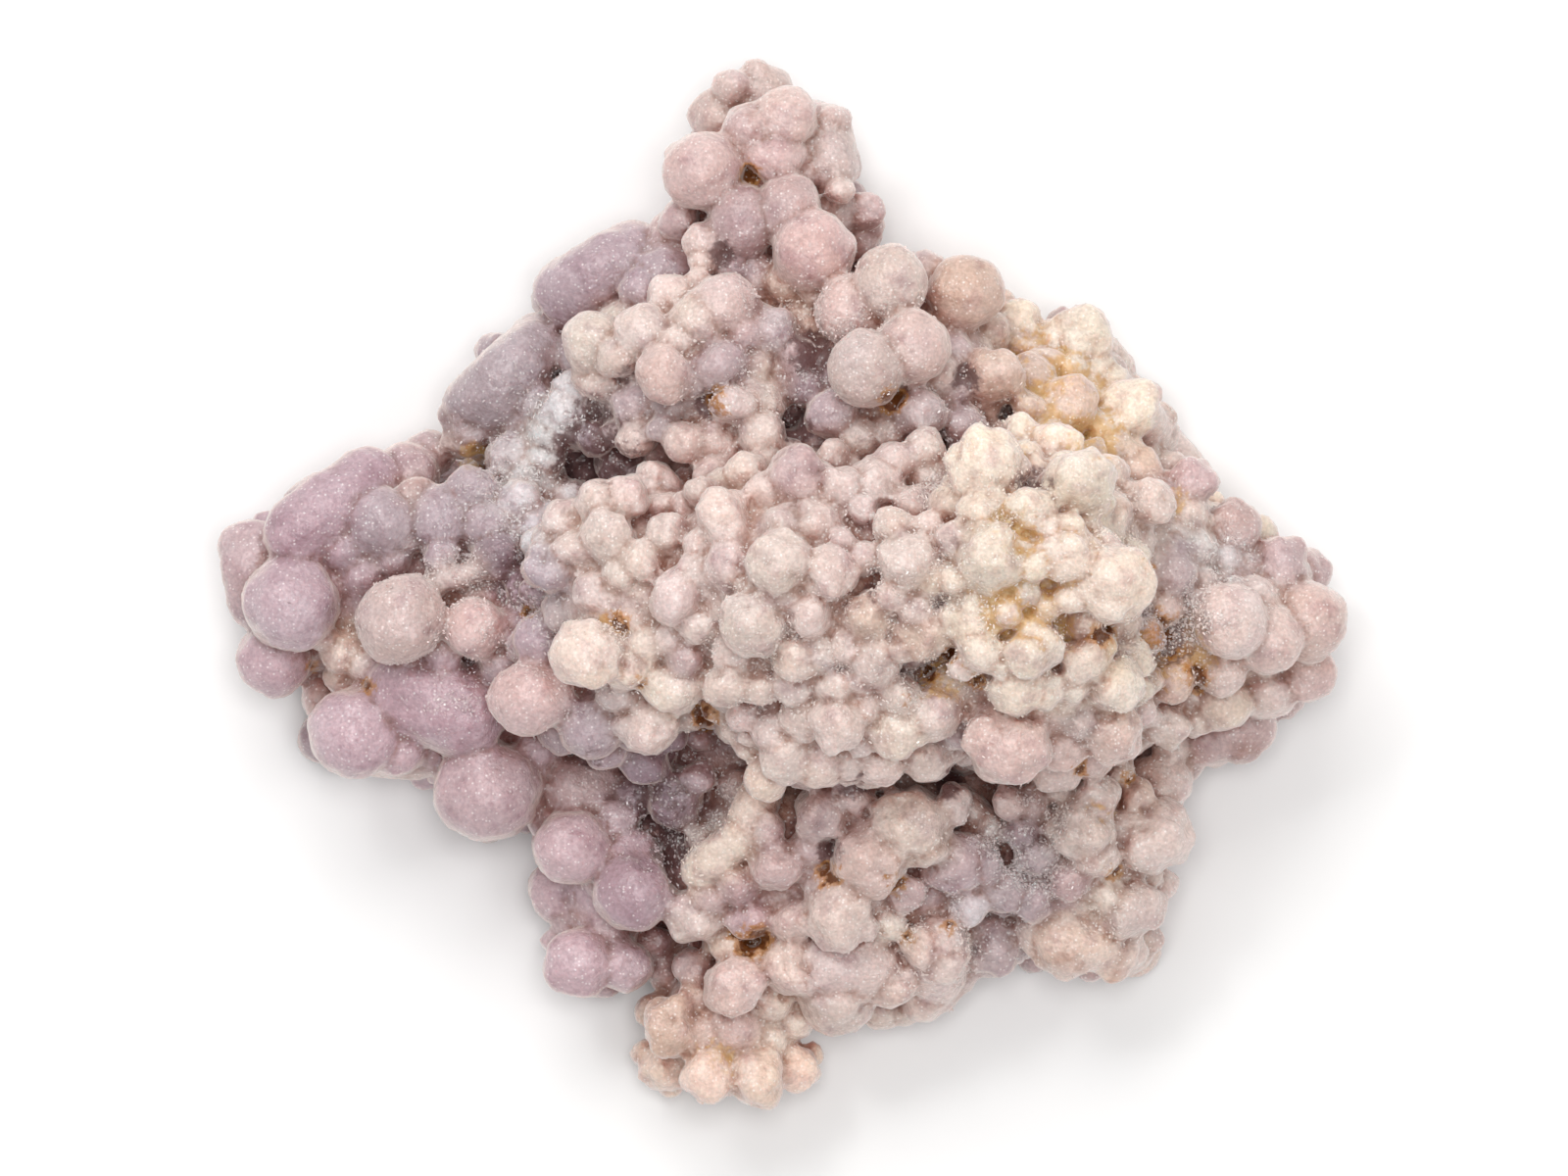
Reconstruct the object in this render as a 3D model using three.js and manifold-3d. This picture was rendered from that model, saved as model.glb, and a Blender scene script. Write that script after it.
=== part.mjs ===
// Botryoidal chalcedony, a cluster of grape-like balls grown together as one stone.
// It lies on its flat broken back. Millimetres, X along its longest way, Y across it, Z up.
import * as THREE from "three";
import { mergeVertices } from "three/addons/utils/BufferGeometryUtils.js";
import Module from "manifold-3d";

// The driving sizes: the cluster's width, and how far its box stands off the drawn centre
const clusterWidth = 100;
const drawnWidth = 100;
const drawnCentre = { x: -0.21, y: -0.20 };

// The larger a ball, the more flats it is drawn with: 20, 12 broad ones, or 80
const middleBallRadius = 3.2;
const roundBallRadius = 3.7;
const roundDetail = 1;
const smallBallSwell = 1.05;
const lobeDetail = 1;

// A ball stands proud of the stone below by at most this share of its radius, at its centre
const proudShare = 0.3;
const settleStep = 0.1;
const cutDepth = 40;

// One stone, lilac-grey at its edges and cream on its crest: the mean of the two here
const stoneColour = 0xcbb9b6;

// The stone under the balls: centre x, y, z and half sizes along x, y, z
const lobes = [
  [-2, 0, 2, 40, 15, 12],
  [-2, -2, 2, 21, 32, 13],
  [21, 3, 12, 13, 12, 27],
  [22, -8, 12, 12, 9, 22],
  [12, 1, 18, 10, 9, 18],
  [2, 0, 12, 17, 14, 24],
  [6, -10, 22, 12, 7, 9.5],
  [-12, -1, 10, 12, 11, 20],
  [-13, -8, 8, 8, 7, 18],
  [35.5, -2.5, 9, 11.5, 8.5, 14],
  [38.5, -9.5, 4, 5.5, 4.5, 8],
  [32, 2, 12, 8, 8, 14],
  [24.8, 14.5, 8, 7, 8, 13],
  [10, 18, 8, 12, 10, 19],
  [-7, 18, 8, 12, 9, 16],
  [-14.5, 24.5, 5, 5.5, 5.5, 8],
  [-1.3, 33, 7, 7.3, 10, 12],
  [-22.5, 14.5, 5, 5, 7, 10],
  [-36, 1, 5, 12, 8.5, 11],
  [-41.5, -2.5, 4, 5.5, 5.5, 9],
  [-27, -1, 6, 9, 9, 12],
  [-28.5, -10.5, 5, 11.5, 6.5, 10],
  [-16, -25, 4, 5, 10, 9],
  [5, -24, 6, 17, 11, 12],
  [25, -22, 6, 9, 10.5, 12],
  [-4.8, -38.5, 4, 6.5, 6, 9],
  [5, -33, 4, 8, 5.5, 9],
];

// The balls, each as centre x, y, z and radius, region by region
const summit = [
  [-1.9, 43.4, 15, 3.0],
  [-5.6, 41.6, 16, 2.6],
  [0.1, 41.4, 18, 2.9],
  [3.9, 39.0, 15.5, 2.9],
  [-7.2, 36.8, 17, 3.5],
  [-0.6, 37.9, 17.5, 2.4],
  [0.5, 33.4, 18, 3.0],
  [-3.6, 32.3, 17, 3.2],
  [6.2, 31.6, 14, 2.7],
  [2.6, 29.7, 22, 3.6],
  [-9.1, 30.6, 13, 2.6],
];

const upperLeftShoulder = [
  [-15.0, 28.7, 10, 3.2],
  [-18.3, 27.6, 9, 3.2],
  [-12.3, 29.0, 12, 2.6],
  [-5.0, 27.9, 18, 2.5],
];

const upperMiddle = [
  [-9.9, 25.6, 20, 2.2],
  [-5.2, 24.9, 22, 2.8],
  [-12.5, 22.6, 21, 2.6],
  [-16.8, 21.6, 17, 2.9],
  [-10.7, 18.7, 24, 2.3],
  [-5.6, 19.5, 24, 2.3],
  [1.4, 22.8, 23, 2.6],
  [-5.8, 12.4, 28, 2.6],
];

const upperRight = [
  [9.4, 26.7, 22, 3.3],
  [6.0, 24.3, 24, 3.2],
  [16.0, 26.0, 16, 3.3],
  [11.4, 21.2, 26, 3.2],
  [7.2, 19.2, 27, 3.4],
  [18.6, 18.6, 20, 2.6],
  [21.6, 18.0, 19, 2.4],
  [12.0, 15.3, 28, 2.2],
];

const rightArm = [
  [20.8, 23.3, 10, 2.1],
  [26.4, 22.1, 10, 2.5],
  [25.2, 16.2, 21, 2.4],
  [30.3, 15.5, 15, 2.6],
  [31.6, 12.4, 16, 2.2],
  [36.0, 9.2, 12, 2.3],
];

const rightSlope = [
  [39.8, 5.4, 14, 2.4],
  [43.7, 2.2, 13, 2.5],
  [46.3, -3.0, 12, 3.5],
  [46.2, -7.4, 10, 2.6],
  [38.3, -3.0, 23, 2.8],
  [42.6, -9.4, 12, 2.5],
  [38.9, -10.4, 15, 2.4],
  [40.2, -13.0, 9, 2.7],
  [32.3, 7.5, 23, 2.4],
  [34.3, -8.0, 21, 2.2],
];

const crest = [
  [17.4, 11.2, 33, 3.0],
  [26.3, 8.6, 33, 2.8],
  [21.5, 7.0, 38, 2.0],
  [18.2, 3.0, 40.5, 2.9],
  [24.9, 2.8, 40.5, 2.4],
  [28.9, 0.3, 36.5, 3.0],
  [16.9, -2.6, 39, 2.6],
  [22.6, -4.4, 39, 2.8],
  [26.4, -6.6, 34, 2.2],
  [20.5, -9.0, 34.5, 2.4],
  [29.4, -8.6, 30, 2.4],
];

const ridge = [
  [7.8, 8.7, 34, 2.6],
  [1.5, 9.8, 31, 2.7],
  [-0.5, 2.3, 35, 2.6],
  [4.0, 1.2, 36.5, 2.3],
  [-5.6, 6.3, 32, 2.6],
  [11.0, 2.2, 37.5, 2.8],
  [12.3, -4.0, 36, 2.2],
  [8.0, -6.3, 34.5, 2.3],
  [14.4, -9.0, 34, 2.4],
  [-2.8, -3.4, 33.5, 2.5],
  [-4.6, -8.4, 30.5, 2.2],
  [4.6, -12.0, 32, 2.5],
  [10.0, -12.6, 31.5, 2.4],
];

const leftRidge = [
  [-9.6, -0.8, 30.5, 2.3],
  [-9.6, -8.8, 28, 2.6],
  [-12.0, -12.4, 24, 2.5],
  [-15.5, 4.5, 28.5, 2.4],
  [-19.1, 5.6, 25.5, 2.4],
  [-17.4, -6.0, 26, 3.1],
];

const whiteCrust = [
  [-19.3, 15.4, 16, 2.4],
  [-22.3, 9.5, 16.5, 2.6],
  [-22.3, 5.5, 18, 2.4],
  [-20.6, 1.5, 22, 2.3],
];

const leftSlab = [
  [-22.5, 21.0, 11, 2.9],
  [-24.6, 18.2, 13, 3.0],
  [-27.3, 15.2, 11, 2.9],
];

const leftArm = [
  [-33.5, 9.8, 10, 2.9],
  [-38.5, 7.8, 11, 3.5],
  [-42.2, 5.4, 11, 3.5],
  [-47.1, 2.0, 9, 3.0],
  [-43.6, -1.5, 12, 4.2],
  [-45.2, -6.8, 8, 3.1],
  [-35.5, 5.6, 15, 3.0],
  [-30.4, 6.0, 16, 3.2],
  [-33.8, -2.8, 17, 3.9],
  [-27.2, -3.6, 18, 2.9],
  [-39.2, -5.4, 14.5, 2.2],
];

const lowerLeft = [
  [-38.0, -12.9, 9, 4.0],
  [-34.6, -14.2, 9, 2.6],
  [-30.3, -10.5, 13.5, 4.7],
  [-26.3, -17.9, 10.5, 4.5],
  [-22.4, -9.8, 16.5, 3.4],
  [-17.0, -12.2, 19, 2.8],
  [-18.2, -18.0, 12, 3.6],
  [-18.7, -23.0, 10, 3.3],
  [-13.4, -27.7, 12.5, 3.4],
  [-18.2, -33.3, 7, 3.0],
  [-14.4, -33.4, 8, 2.5],
];

const lowerTier = [
  [-2.6, -18.0, 20, 2.2],
  [-3.9, -21.4, 20.5, 2.0],
  [-6.5, -23.8, 18.5, 1.9],
  [-8.3, -29.4, 14.5, 2.4],
  [-0.6, -24.6, 18.5, 2.6],
  [3.4, -20.0, 19.5, 2.8],
  [7.4, -24.4, 19, 2.7],
  [11.3, -20.7, 20, 3.1],
  [16.6, -20.6, 18, 2.2],
  [14.2, -25.2, 18.5, 3.4],
  [4.6, -29.6, 16, 2.9],
  [19.8, -14.5, 25.5, 4.3],
  [29.2, -12.8, 20, 2.4],
  [33.4, -12.0, 17, 2.3],
  [26.3, -21.3, 18.5, 2.7],
  [33.6, -17.6, 11, 2.8],
  [32.7, -22.0, 11, 3.2],
  [30.9, -28.6, 9, 2.6],
  [29.8, -32.0, 7, 2.5],
  [25.0, -31.8, 9, 2.5],
  [18.6, -31.4, 12, 2.8],
];

const bottomLobe = [
  [12.8, -35.5, 10, 2.9],
  [9.6, -34.8, 12, 2.6],
  [4.7, -36.3, 9, 2.9],
  [0.5, -33.5, 13.5, 2.6],
  [-4.4, -35.0, 13, 2.6],
  [-10.0, -39.0, 8, 2.7],
  [-10.8, -42.8, 6, 2.2],
  [-6.8, -43.2, 6, 2.4],
  [-2.5, -43.8, 6, 2.6],
  [0.9, -42.7, 7, 2.4],
];

const balls = [
  ...summit,
  ...upperLeftShoulder,
  ...upperMiddle,
  ...upperRight,
  ...rightArm,
  ...rightSlope,
  ...crest,
  ...ridge,
  ...leftRidge,
  ...whiteCrust,
  ...leftSlab,
  ...leftArm,
  ...lowerLeft,
  ...lowerTier,
  ...bottomLobe,
];

const wasm = await Module();
wasm.setup();

// A closed geometry as a solid that can be joined and cut
function asSolid(geometry) {
  geometry.deleteAttribute("normal");
  geometry.deleteAttribute("uv");
  const merged = mergeVertices(geometry);
  return new wasm.Manifold(new wasm.Mesh({
    numProp: 3,
    vertProperties: new Float32Array(merged.attributes.position.array),
    triVerts: new Uint32Array(merged.index.array),
  }));
}

function makeLobe([x, y, z, halfX, halfY, halfZ]) {
  const geometry = new THREE.IcosahedronGeometry(1, lobeDetail);
  geometry.scale(halfX, halfY, halfZ);
  geometry.translate(x, y, z);
  return asSolid(geometry);
}

// How far a point is outside the nearest lobe, to within its curvature
function gapToLobes(x, y, z) {
  const gaps = lobes.map(([centreX, centreY, centreZ, halfX, halfY, halfZ]) => {
    const reach = Math.hypot((x - centreX) / halfX, (y - centreY) / halfY, (z - centreZ) / halfZ);
    const slope = Math.hypot(
      (x - centreX) / halfX ** 2,
      (y - centreY) / halfY ** 2,
      (z - centreZ) / halfZ ** 2,
    );
    return slope > 0 ? reach * (reach - 1) / slope : -halfZ;
  });
  return Math.min(...gaps);
}

// A ball drawn too high comes down until it has grown into the stone below it
function settle([x, y, z, radius]) {
  let height = z;
  while (height > radius && gapToLobes(x, y, height) > proudShare * radius) {
    height -= settleStep;
  }
  return [x, y, height, radius];
}

function makeBallGeometry(radius) {
  if (radius >= roundBallRadius) {
    return new THREE.IcosahedronGeometry(radius, roundDetail);
  }
  if (radius >= middleBallRadius) {
    return new THREE.DodecahedronGeometry(radius);
  }
  return new THREE.IcosahedronGeometry(radius * smallBallSwell);
}

// Each ball is turned a little further than the last, so that no two facets line up
function makeBall([x, y, z, radius], index) {
  const geometry = makeBallGeometry(radius);
  geometry.rotateX(index * 1.7);
  geometry.rotateZ(index * 2.4);
  geometry.translate(x, y, z);
  return asSolid(geometry);
}

// The ground side, below the flat break
function makeCut() {
  const side = clusterWidth * 2;
  const geometry = new THREE.BoxGeometry(side, side, cutDepth);
  geometry.translate(0, 0, -cutDepth / 2);
  return asSolid(geometry);
}

function makeStone() {
  const pieces = [...lobes.map(makeLobe), ...balls.map(settle).map(makeBall)];
  const grown = pieces.reduce((whole, piece) => whole.add(piece));
  return grown.subtract(makeCut());
}

function makeChalcedony() {
  const mesh = makeStone().getMesh();
  const geometry = new THREE.BufferGeometry();
  geometry.setAttribute("position", new THREE.BufferAttribute(mesh.vertProperties, 3));
  geometry.setIndex(new THREE.BufferAttribute(mesh.triVerts, 1));
  geometry.translate(-drawnCentre.x, -drawnCentre.y, 0);
  geometry.scale(clusterWidth / drawnWidth, clusterWidth / drawnWidth, clusterWidth / drawnWidth);
  geometry.computeVertexNormals();
  const stone = new THREE.MeshStandardMaterial({
    color: stoneColour,
    roughness: 0.45,
    metalness: 0,
    flatShading: true,
  });
  const chalcedony = new THREE.Mesh(geometry, stone);
  chalcedony.name = "chalcedony";
  return chalcedony;
}

const group = new THREE.Group();
group.add(makeChalcedony());

export default group;
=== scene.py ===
import bpy
import math
import random
from mathutils import Matrix, Vector, noise
from mathutils.bvhtree import BVHTree
from mathutils.kdtree import KDTree


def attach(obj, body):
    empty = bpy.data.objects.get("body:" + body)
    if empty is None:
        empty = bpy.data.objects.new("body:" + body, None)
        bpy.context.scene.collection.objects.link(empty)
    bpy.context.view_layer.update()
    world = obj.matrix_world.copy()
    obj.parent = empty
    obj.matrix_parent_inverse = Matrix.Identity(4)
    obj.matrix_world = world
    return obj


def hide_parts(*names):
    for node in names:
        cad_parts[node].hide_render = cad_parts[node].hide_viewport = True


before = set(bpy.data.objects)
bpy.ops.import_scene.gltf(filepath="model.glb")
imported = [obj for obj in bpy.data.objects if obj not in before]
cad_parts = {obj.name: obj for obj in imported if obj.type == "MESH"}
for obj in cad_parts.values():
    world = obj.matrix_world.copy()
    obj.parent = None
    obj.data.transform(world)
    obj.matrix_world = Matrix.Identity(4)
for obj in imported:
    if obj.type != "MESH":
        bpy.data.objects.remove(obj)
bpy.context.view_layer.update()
print("frame loaded")

mm = 0.001

# The stone under the balls, as in the part: centre x, y, z and half sizes, in mm
lobes = [
    (-2, 0, 2, 40, 15, 12), (-2, -2, 2, 21, 32, 13), (21, 3, 12, 13, 12, 27), (22, -8, 12, 12, 9, 22),
    (12, 1, 18, 10, 9, 18), (2, 0, 12, 17, 14, 24), (6, -10, 22, 12, 7, 9.5), (-12, -1, 10, 12, 11, 20),
    (-13, -8, 8, 8, 7, 18), (35.5, -2.5, 9, 11.5, 8.5, 14), (38.5, -9.5, 4, 5.5, 4.5, 8),
    (32, 2, 12, 8, 8, 14), (24.8, 14.5, 8, 7, 8, 13), (10, 18, 8, 12, 10, 19), (-7, 18, 8, 12, 9, 16),
    (-14.5, 24.5, 5, 5.5, 5.5, 8), (-1.3, 33, 7, 7.3, 10, 12), (-22.5, 14.5, 5, 5, 7, 10),
    (-36, 1, 5, 12, 8.5, 11), (-41.5, -2.5, 4, 5.5, 5.5, 9), (-27, -1, 6, 9, 9, 12),
    (-28.5, -10.5, 5, 11.5, 6.5, 10), (-16, -25, 4, 5, 10, 9), (5, -24, 6, 17, 11, 12),
    (25, -22, 6, 9, 10.5, 12), (-4.8, -38.5, 4, 6.5, 6, 9), (5, -33, 4, 8, 5.5, 9),
]

# The larger balls, as in the part, region by region: centre x, y, z and radius in mm.
# Then the ball's own tone, where it differs from its region's, and how far the ball stands out,
# as a share of its radius, where the photo shows it.
mainBalls = {
    "summit": ("rose", [
        (-1.9, 43.4, 15, 3, 0.35), (-5.6, 41.6, 16, 2.6, 0.3), (0.1, 41.4, 18, 2.9, 0.85),
        (-7.2, 36.8, 17, 3.5, 0.85), (-0.6, 37.9, 17.5, 2.4, 0.4), (0.5, 33.4, 18, 3, "mauve", 0.35),
        (-3.6, 32.3, 17, 3.2, "wine", 0.2), (6.2, 31.6, 14, 2.7, "mauve", 0.3), (2.6, 29.7, 22, 3.6, 1.1),
        (-9.1, 30.6, 13, 2.6),
    ]),
    "upperLeftShoulder": ("violet", [
        (-12.3, 29, 12, 2.6), (-5, 27.9, 18, 2.5, "haze"),
    ]),
    "upperMiddle": ("blush", [
        (-9.9, 25.6, 20, 2.2, 0.85), (-5.2, 24.9, 22, 2.9, "rose", 0.85), (-12.5, 22.6, 21, 2.6, 0.8),
        (-16.8, 21.6, 17, 2.9, 0.7), (-10.7, 18.7, 24, 2.3, "rose", 0.9), (-5.6, 19.5, 24, 2.3, "haze", 0.3),
        (1.4, 22.8, 23, 2.6, "tan", 0.25), (-5.8, 12.4, 28, 2.6, "rose", 0.4),
    ]),
    "upperRight": ("blush", [
        (9.4, 26.7, 22, 3.3, "rose", 1.05), (6, 24.3, 24, 3.2, "rose", 0.5), (16, 26, 16, 3.3, "tan", 0.7),
        (11.4, 21.2, 26, 3.2, "rose", 0.6), (7.2, 19.2, 27, 3.4, "rose", 0.85), (18.6, 18.6, 20, 2.6, "tan"),
        (21.6, 18, 19, 2.4, "tan"), (12, 15.3, 28, 2.2, "haze"),
    ]),
    "rightArm": ("cream", [
        (20.8, 23.3, 10, 2.1), (26.4, 22.1, 10, 2.5), (25.2, 16.2, 21, 2.4, "tan"), (30.3, 15.5, 15, 2.6),
        (31.6, 12.4, 16, 2.2), (36, 9.2, 12, 2.3, "mauve"),
    ]),
    "rightSlope": ("blush", [
        (39.4, -3, 20, 3.3, 0.4), (42.8, -4.6, 16, 3.1, "rose", 0.35), (39.8, 5.4, 14, 2.4, "mauve"),
        (43.7, 2.2, 13, 2.5, "mauve"), (46.3, -3, 12, 3.5, "rose", 0.4), (46.2, -7.4, 10, 2.6, "rose"),
        (42.6, -9.4, 12, 2.5), (38.9, -10.4, 15, 2.4, "cream"), (40.2, -13, 9, 2.7, "mauve"),
        (32.3, 7.5, 23, 2.4), (34.3, -8, 21, 2.2, "tan"),
    ]),
    "crest": ("cream", [
        (17.6, 10.8, 33, 3.1, 0.8), (26, 9.2, 33, 3, 0.8), (21.5, 7, 38, 2), (18.4, 2.6, 40.5, 3.2, 0.8),
        (24.9, 2.8, 40.5, 2.4), (28.8, 0.5, 36.5, 3.2, 0.8), (16.9, -2.6, 39, 2.6), (22, -5.2, 39, 2.9, 0.75),
        (26.4, -6.6, 34, 2.2), (20.5, -9, 34.5, 2.4), (29.4, -8.6, 30, 2.4),
    ]),
    "ridge": ("blush", [
        (7.8, 8.7, 34, 2.6), (1.5, 9.8, 31, 2.7, "mauve"), (-0.5, 2.3, 35, 2.6), (4, 1.2, 36.5, 2.3),
        (-5.6, 6.3, 32, 2.6), (11, 2.2, 37.5, 2.8), (12.3, -4, 36, 2.2, "tan"), (8, -6.3, 34.5, 2.3),
        (14.4, -9, 34, 2.4), (-2.8, -3.4, 33.5, 2.5), (-4.6, -8.4, 30.5, 2.2), (4.6, -12, 32, 2.5),
        (10, -12.6, 31.5, 2.4, "cream"),
    ]),
    "leftRidge": ("blush", [
        (-9.6, -0.8, 30.5, 2.3), (-9.6, -8.8, 28, 2.6, "cream"), (-12, -12.4, 24, 2.5),
        (-15.5, 4.5, 28.5, 2.4), (-19.1, 5.6, 25.5, 2.4), (-17.4, -6, 26, 3.1, "cream", 1),
    ]),
    "whiteCrust": ("white", [
        (-19.3, 15.4, 16, 2.4), (-22.3, 9.5, 16.5, 2.6), (-22.3, 5.5, 18, 2.4), (-20.6, 1.5, 22, 2.3, "haze"),
    ]),
    "leftSlab": ("haze", [
        (-27.6, 14.8, 11, 2.6, 0.4),
    ]),
    "leftArm": ("violet", [
        (-33.5, 9.8, 10, 2.9, "mauve"), (-43.6, -1.5, 12, 4.2, "lilac"), (-45.2, -6.4, 8, 3.2, "lilac", 0.6),
        (-35.5, 5.6, 15, 3, "haze"), (-30.4, 6, 16, 3.2, "haze"), (-33.8, -2.8, 17, 3.9, "rose", 1.05),
        (-27.2, -3.6, 18, 2.9, "rose", 0.6), (-39.2, -5.4, 14.5, 2.2, "cream"),
    ]),
    "lowerLeft": ("lilac", [
        (-38, -12.9, 9, 4, 0.75), (-34.6, -14.2, 9, 2.6), (-26.3, -17.9, 10.5, 4.5, 0.7),
        (-22.4, -9.8, 16.5, 3.4, "rose", 1.2), (-17, -12.2, 19, 2.8, "haze", 0.3),
        (-18.2, -18, 12, 3.8, "mauve", 0.2), (-18.8, -23, 10, 3.3, 0.6),
        (-13.4, -27, 12.5, 3.4, "violet", 0.7), (-18.2, -33.3, 7, 3), (-14.4, -33.4, 8, 2.5),
    ]),
    "lowerTier": ("blush", [
        (-7.8, -29.1, 14.5, 2.3, 0.8), (-0.6, -24.6, 18.5, 2.6, "mauve"), (3.4, -20, 19.5, 2.8, "mauve"),
        (7.5, -24, 19, 2.9, "rose", 0.75), (11.2, -21, 20, 3.3, 1), (15.4, -24.4, 18.5, 3.1, "violet", 0.3),
        (4.9, -29.2, 16, 3, 0.7), (19.8, -13.8, 25.5, 3.7, "rose", 0.3), (29.2, -12.8, 20, 2.4, "rose"),
        (33.4, -12, 17, 2.3), (26.3, -21.3, 18.5, 2.7), (33.6, -17.6, 11, 2.8), (32.7, -22, 11, 3.2),
        (30.9, -28.6, 9, 2.6), (29.8, -32, 7, 2.5), (25, -31.8, 9, 2.5), (18.6, -31.4, 12, 2.8, "haze"),
    ]),
    "bottomLobe": ("peach", [
        (12.8, -35.5, 10, 2.9, "blush"), (9.6, -34.8, 12, 2.6, "blush"), (4.7, -36.3, 9, 2.9, "blush"),
        (0.5, -33.5, 13.5, 2.6, "blush"), (-4.3, -35.2, 13, 2.9, "rose", 0.8), (-10, -39, 8, 2.7, "tan"),
        (-10.8, -42.8, 6, 2.2), (-6.8, -43.2, 6, 2.4), (-2.5, -43.8, 6, 2.6), (0.9, -42.7, 7, 2.4),
    ]),
}

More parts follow.
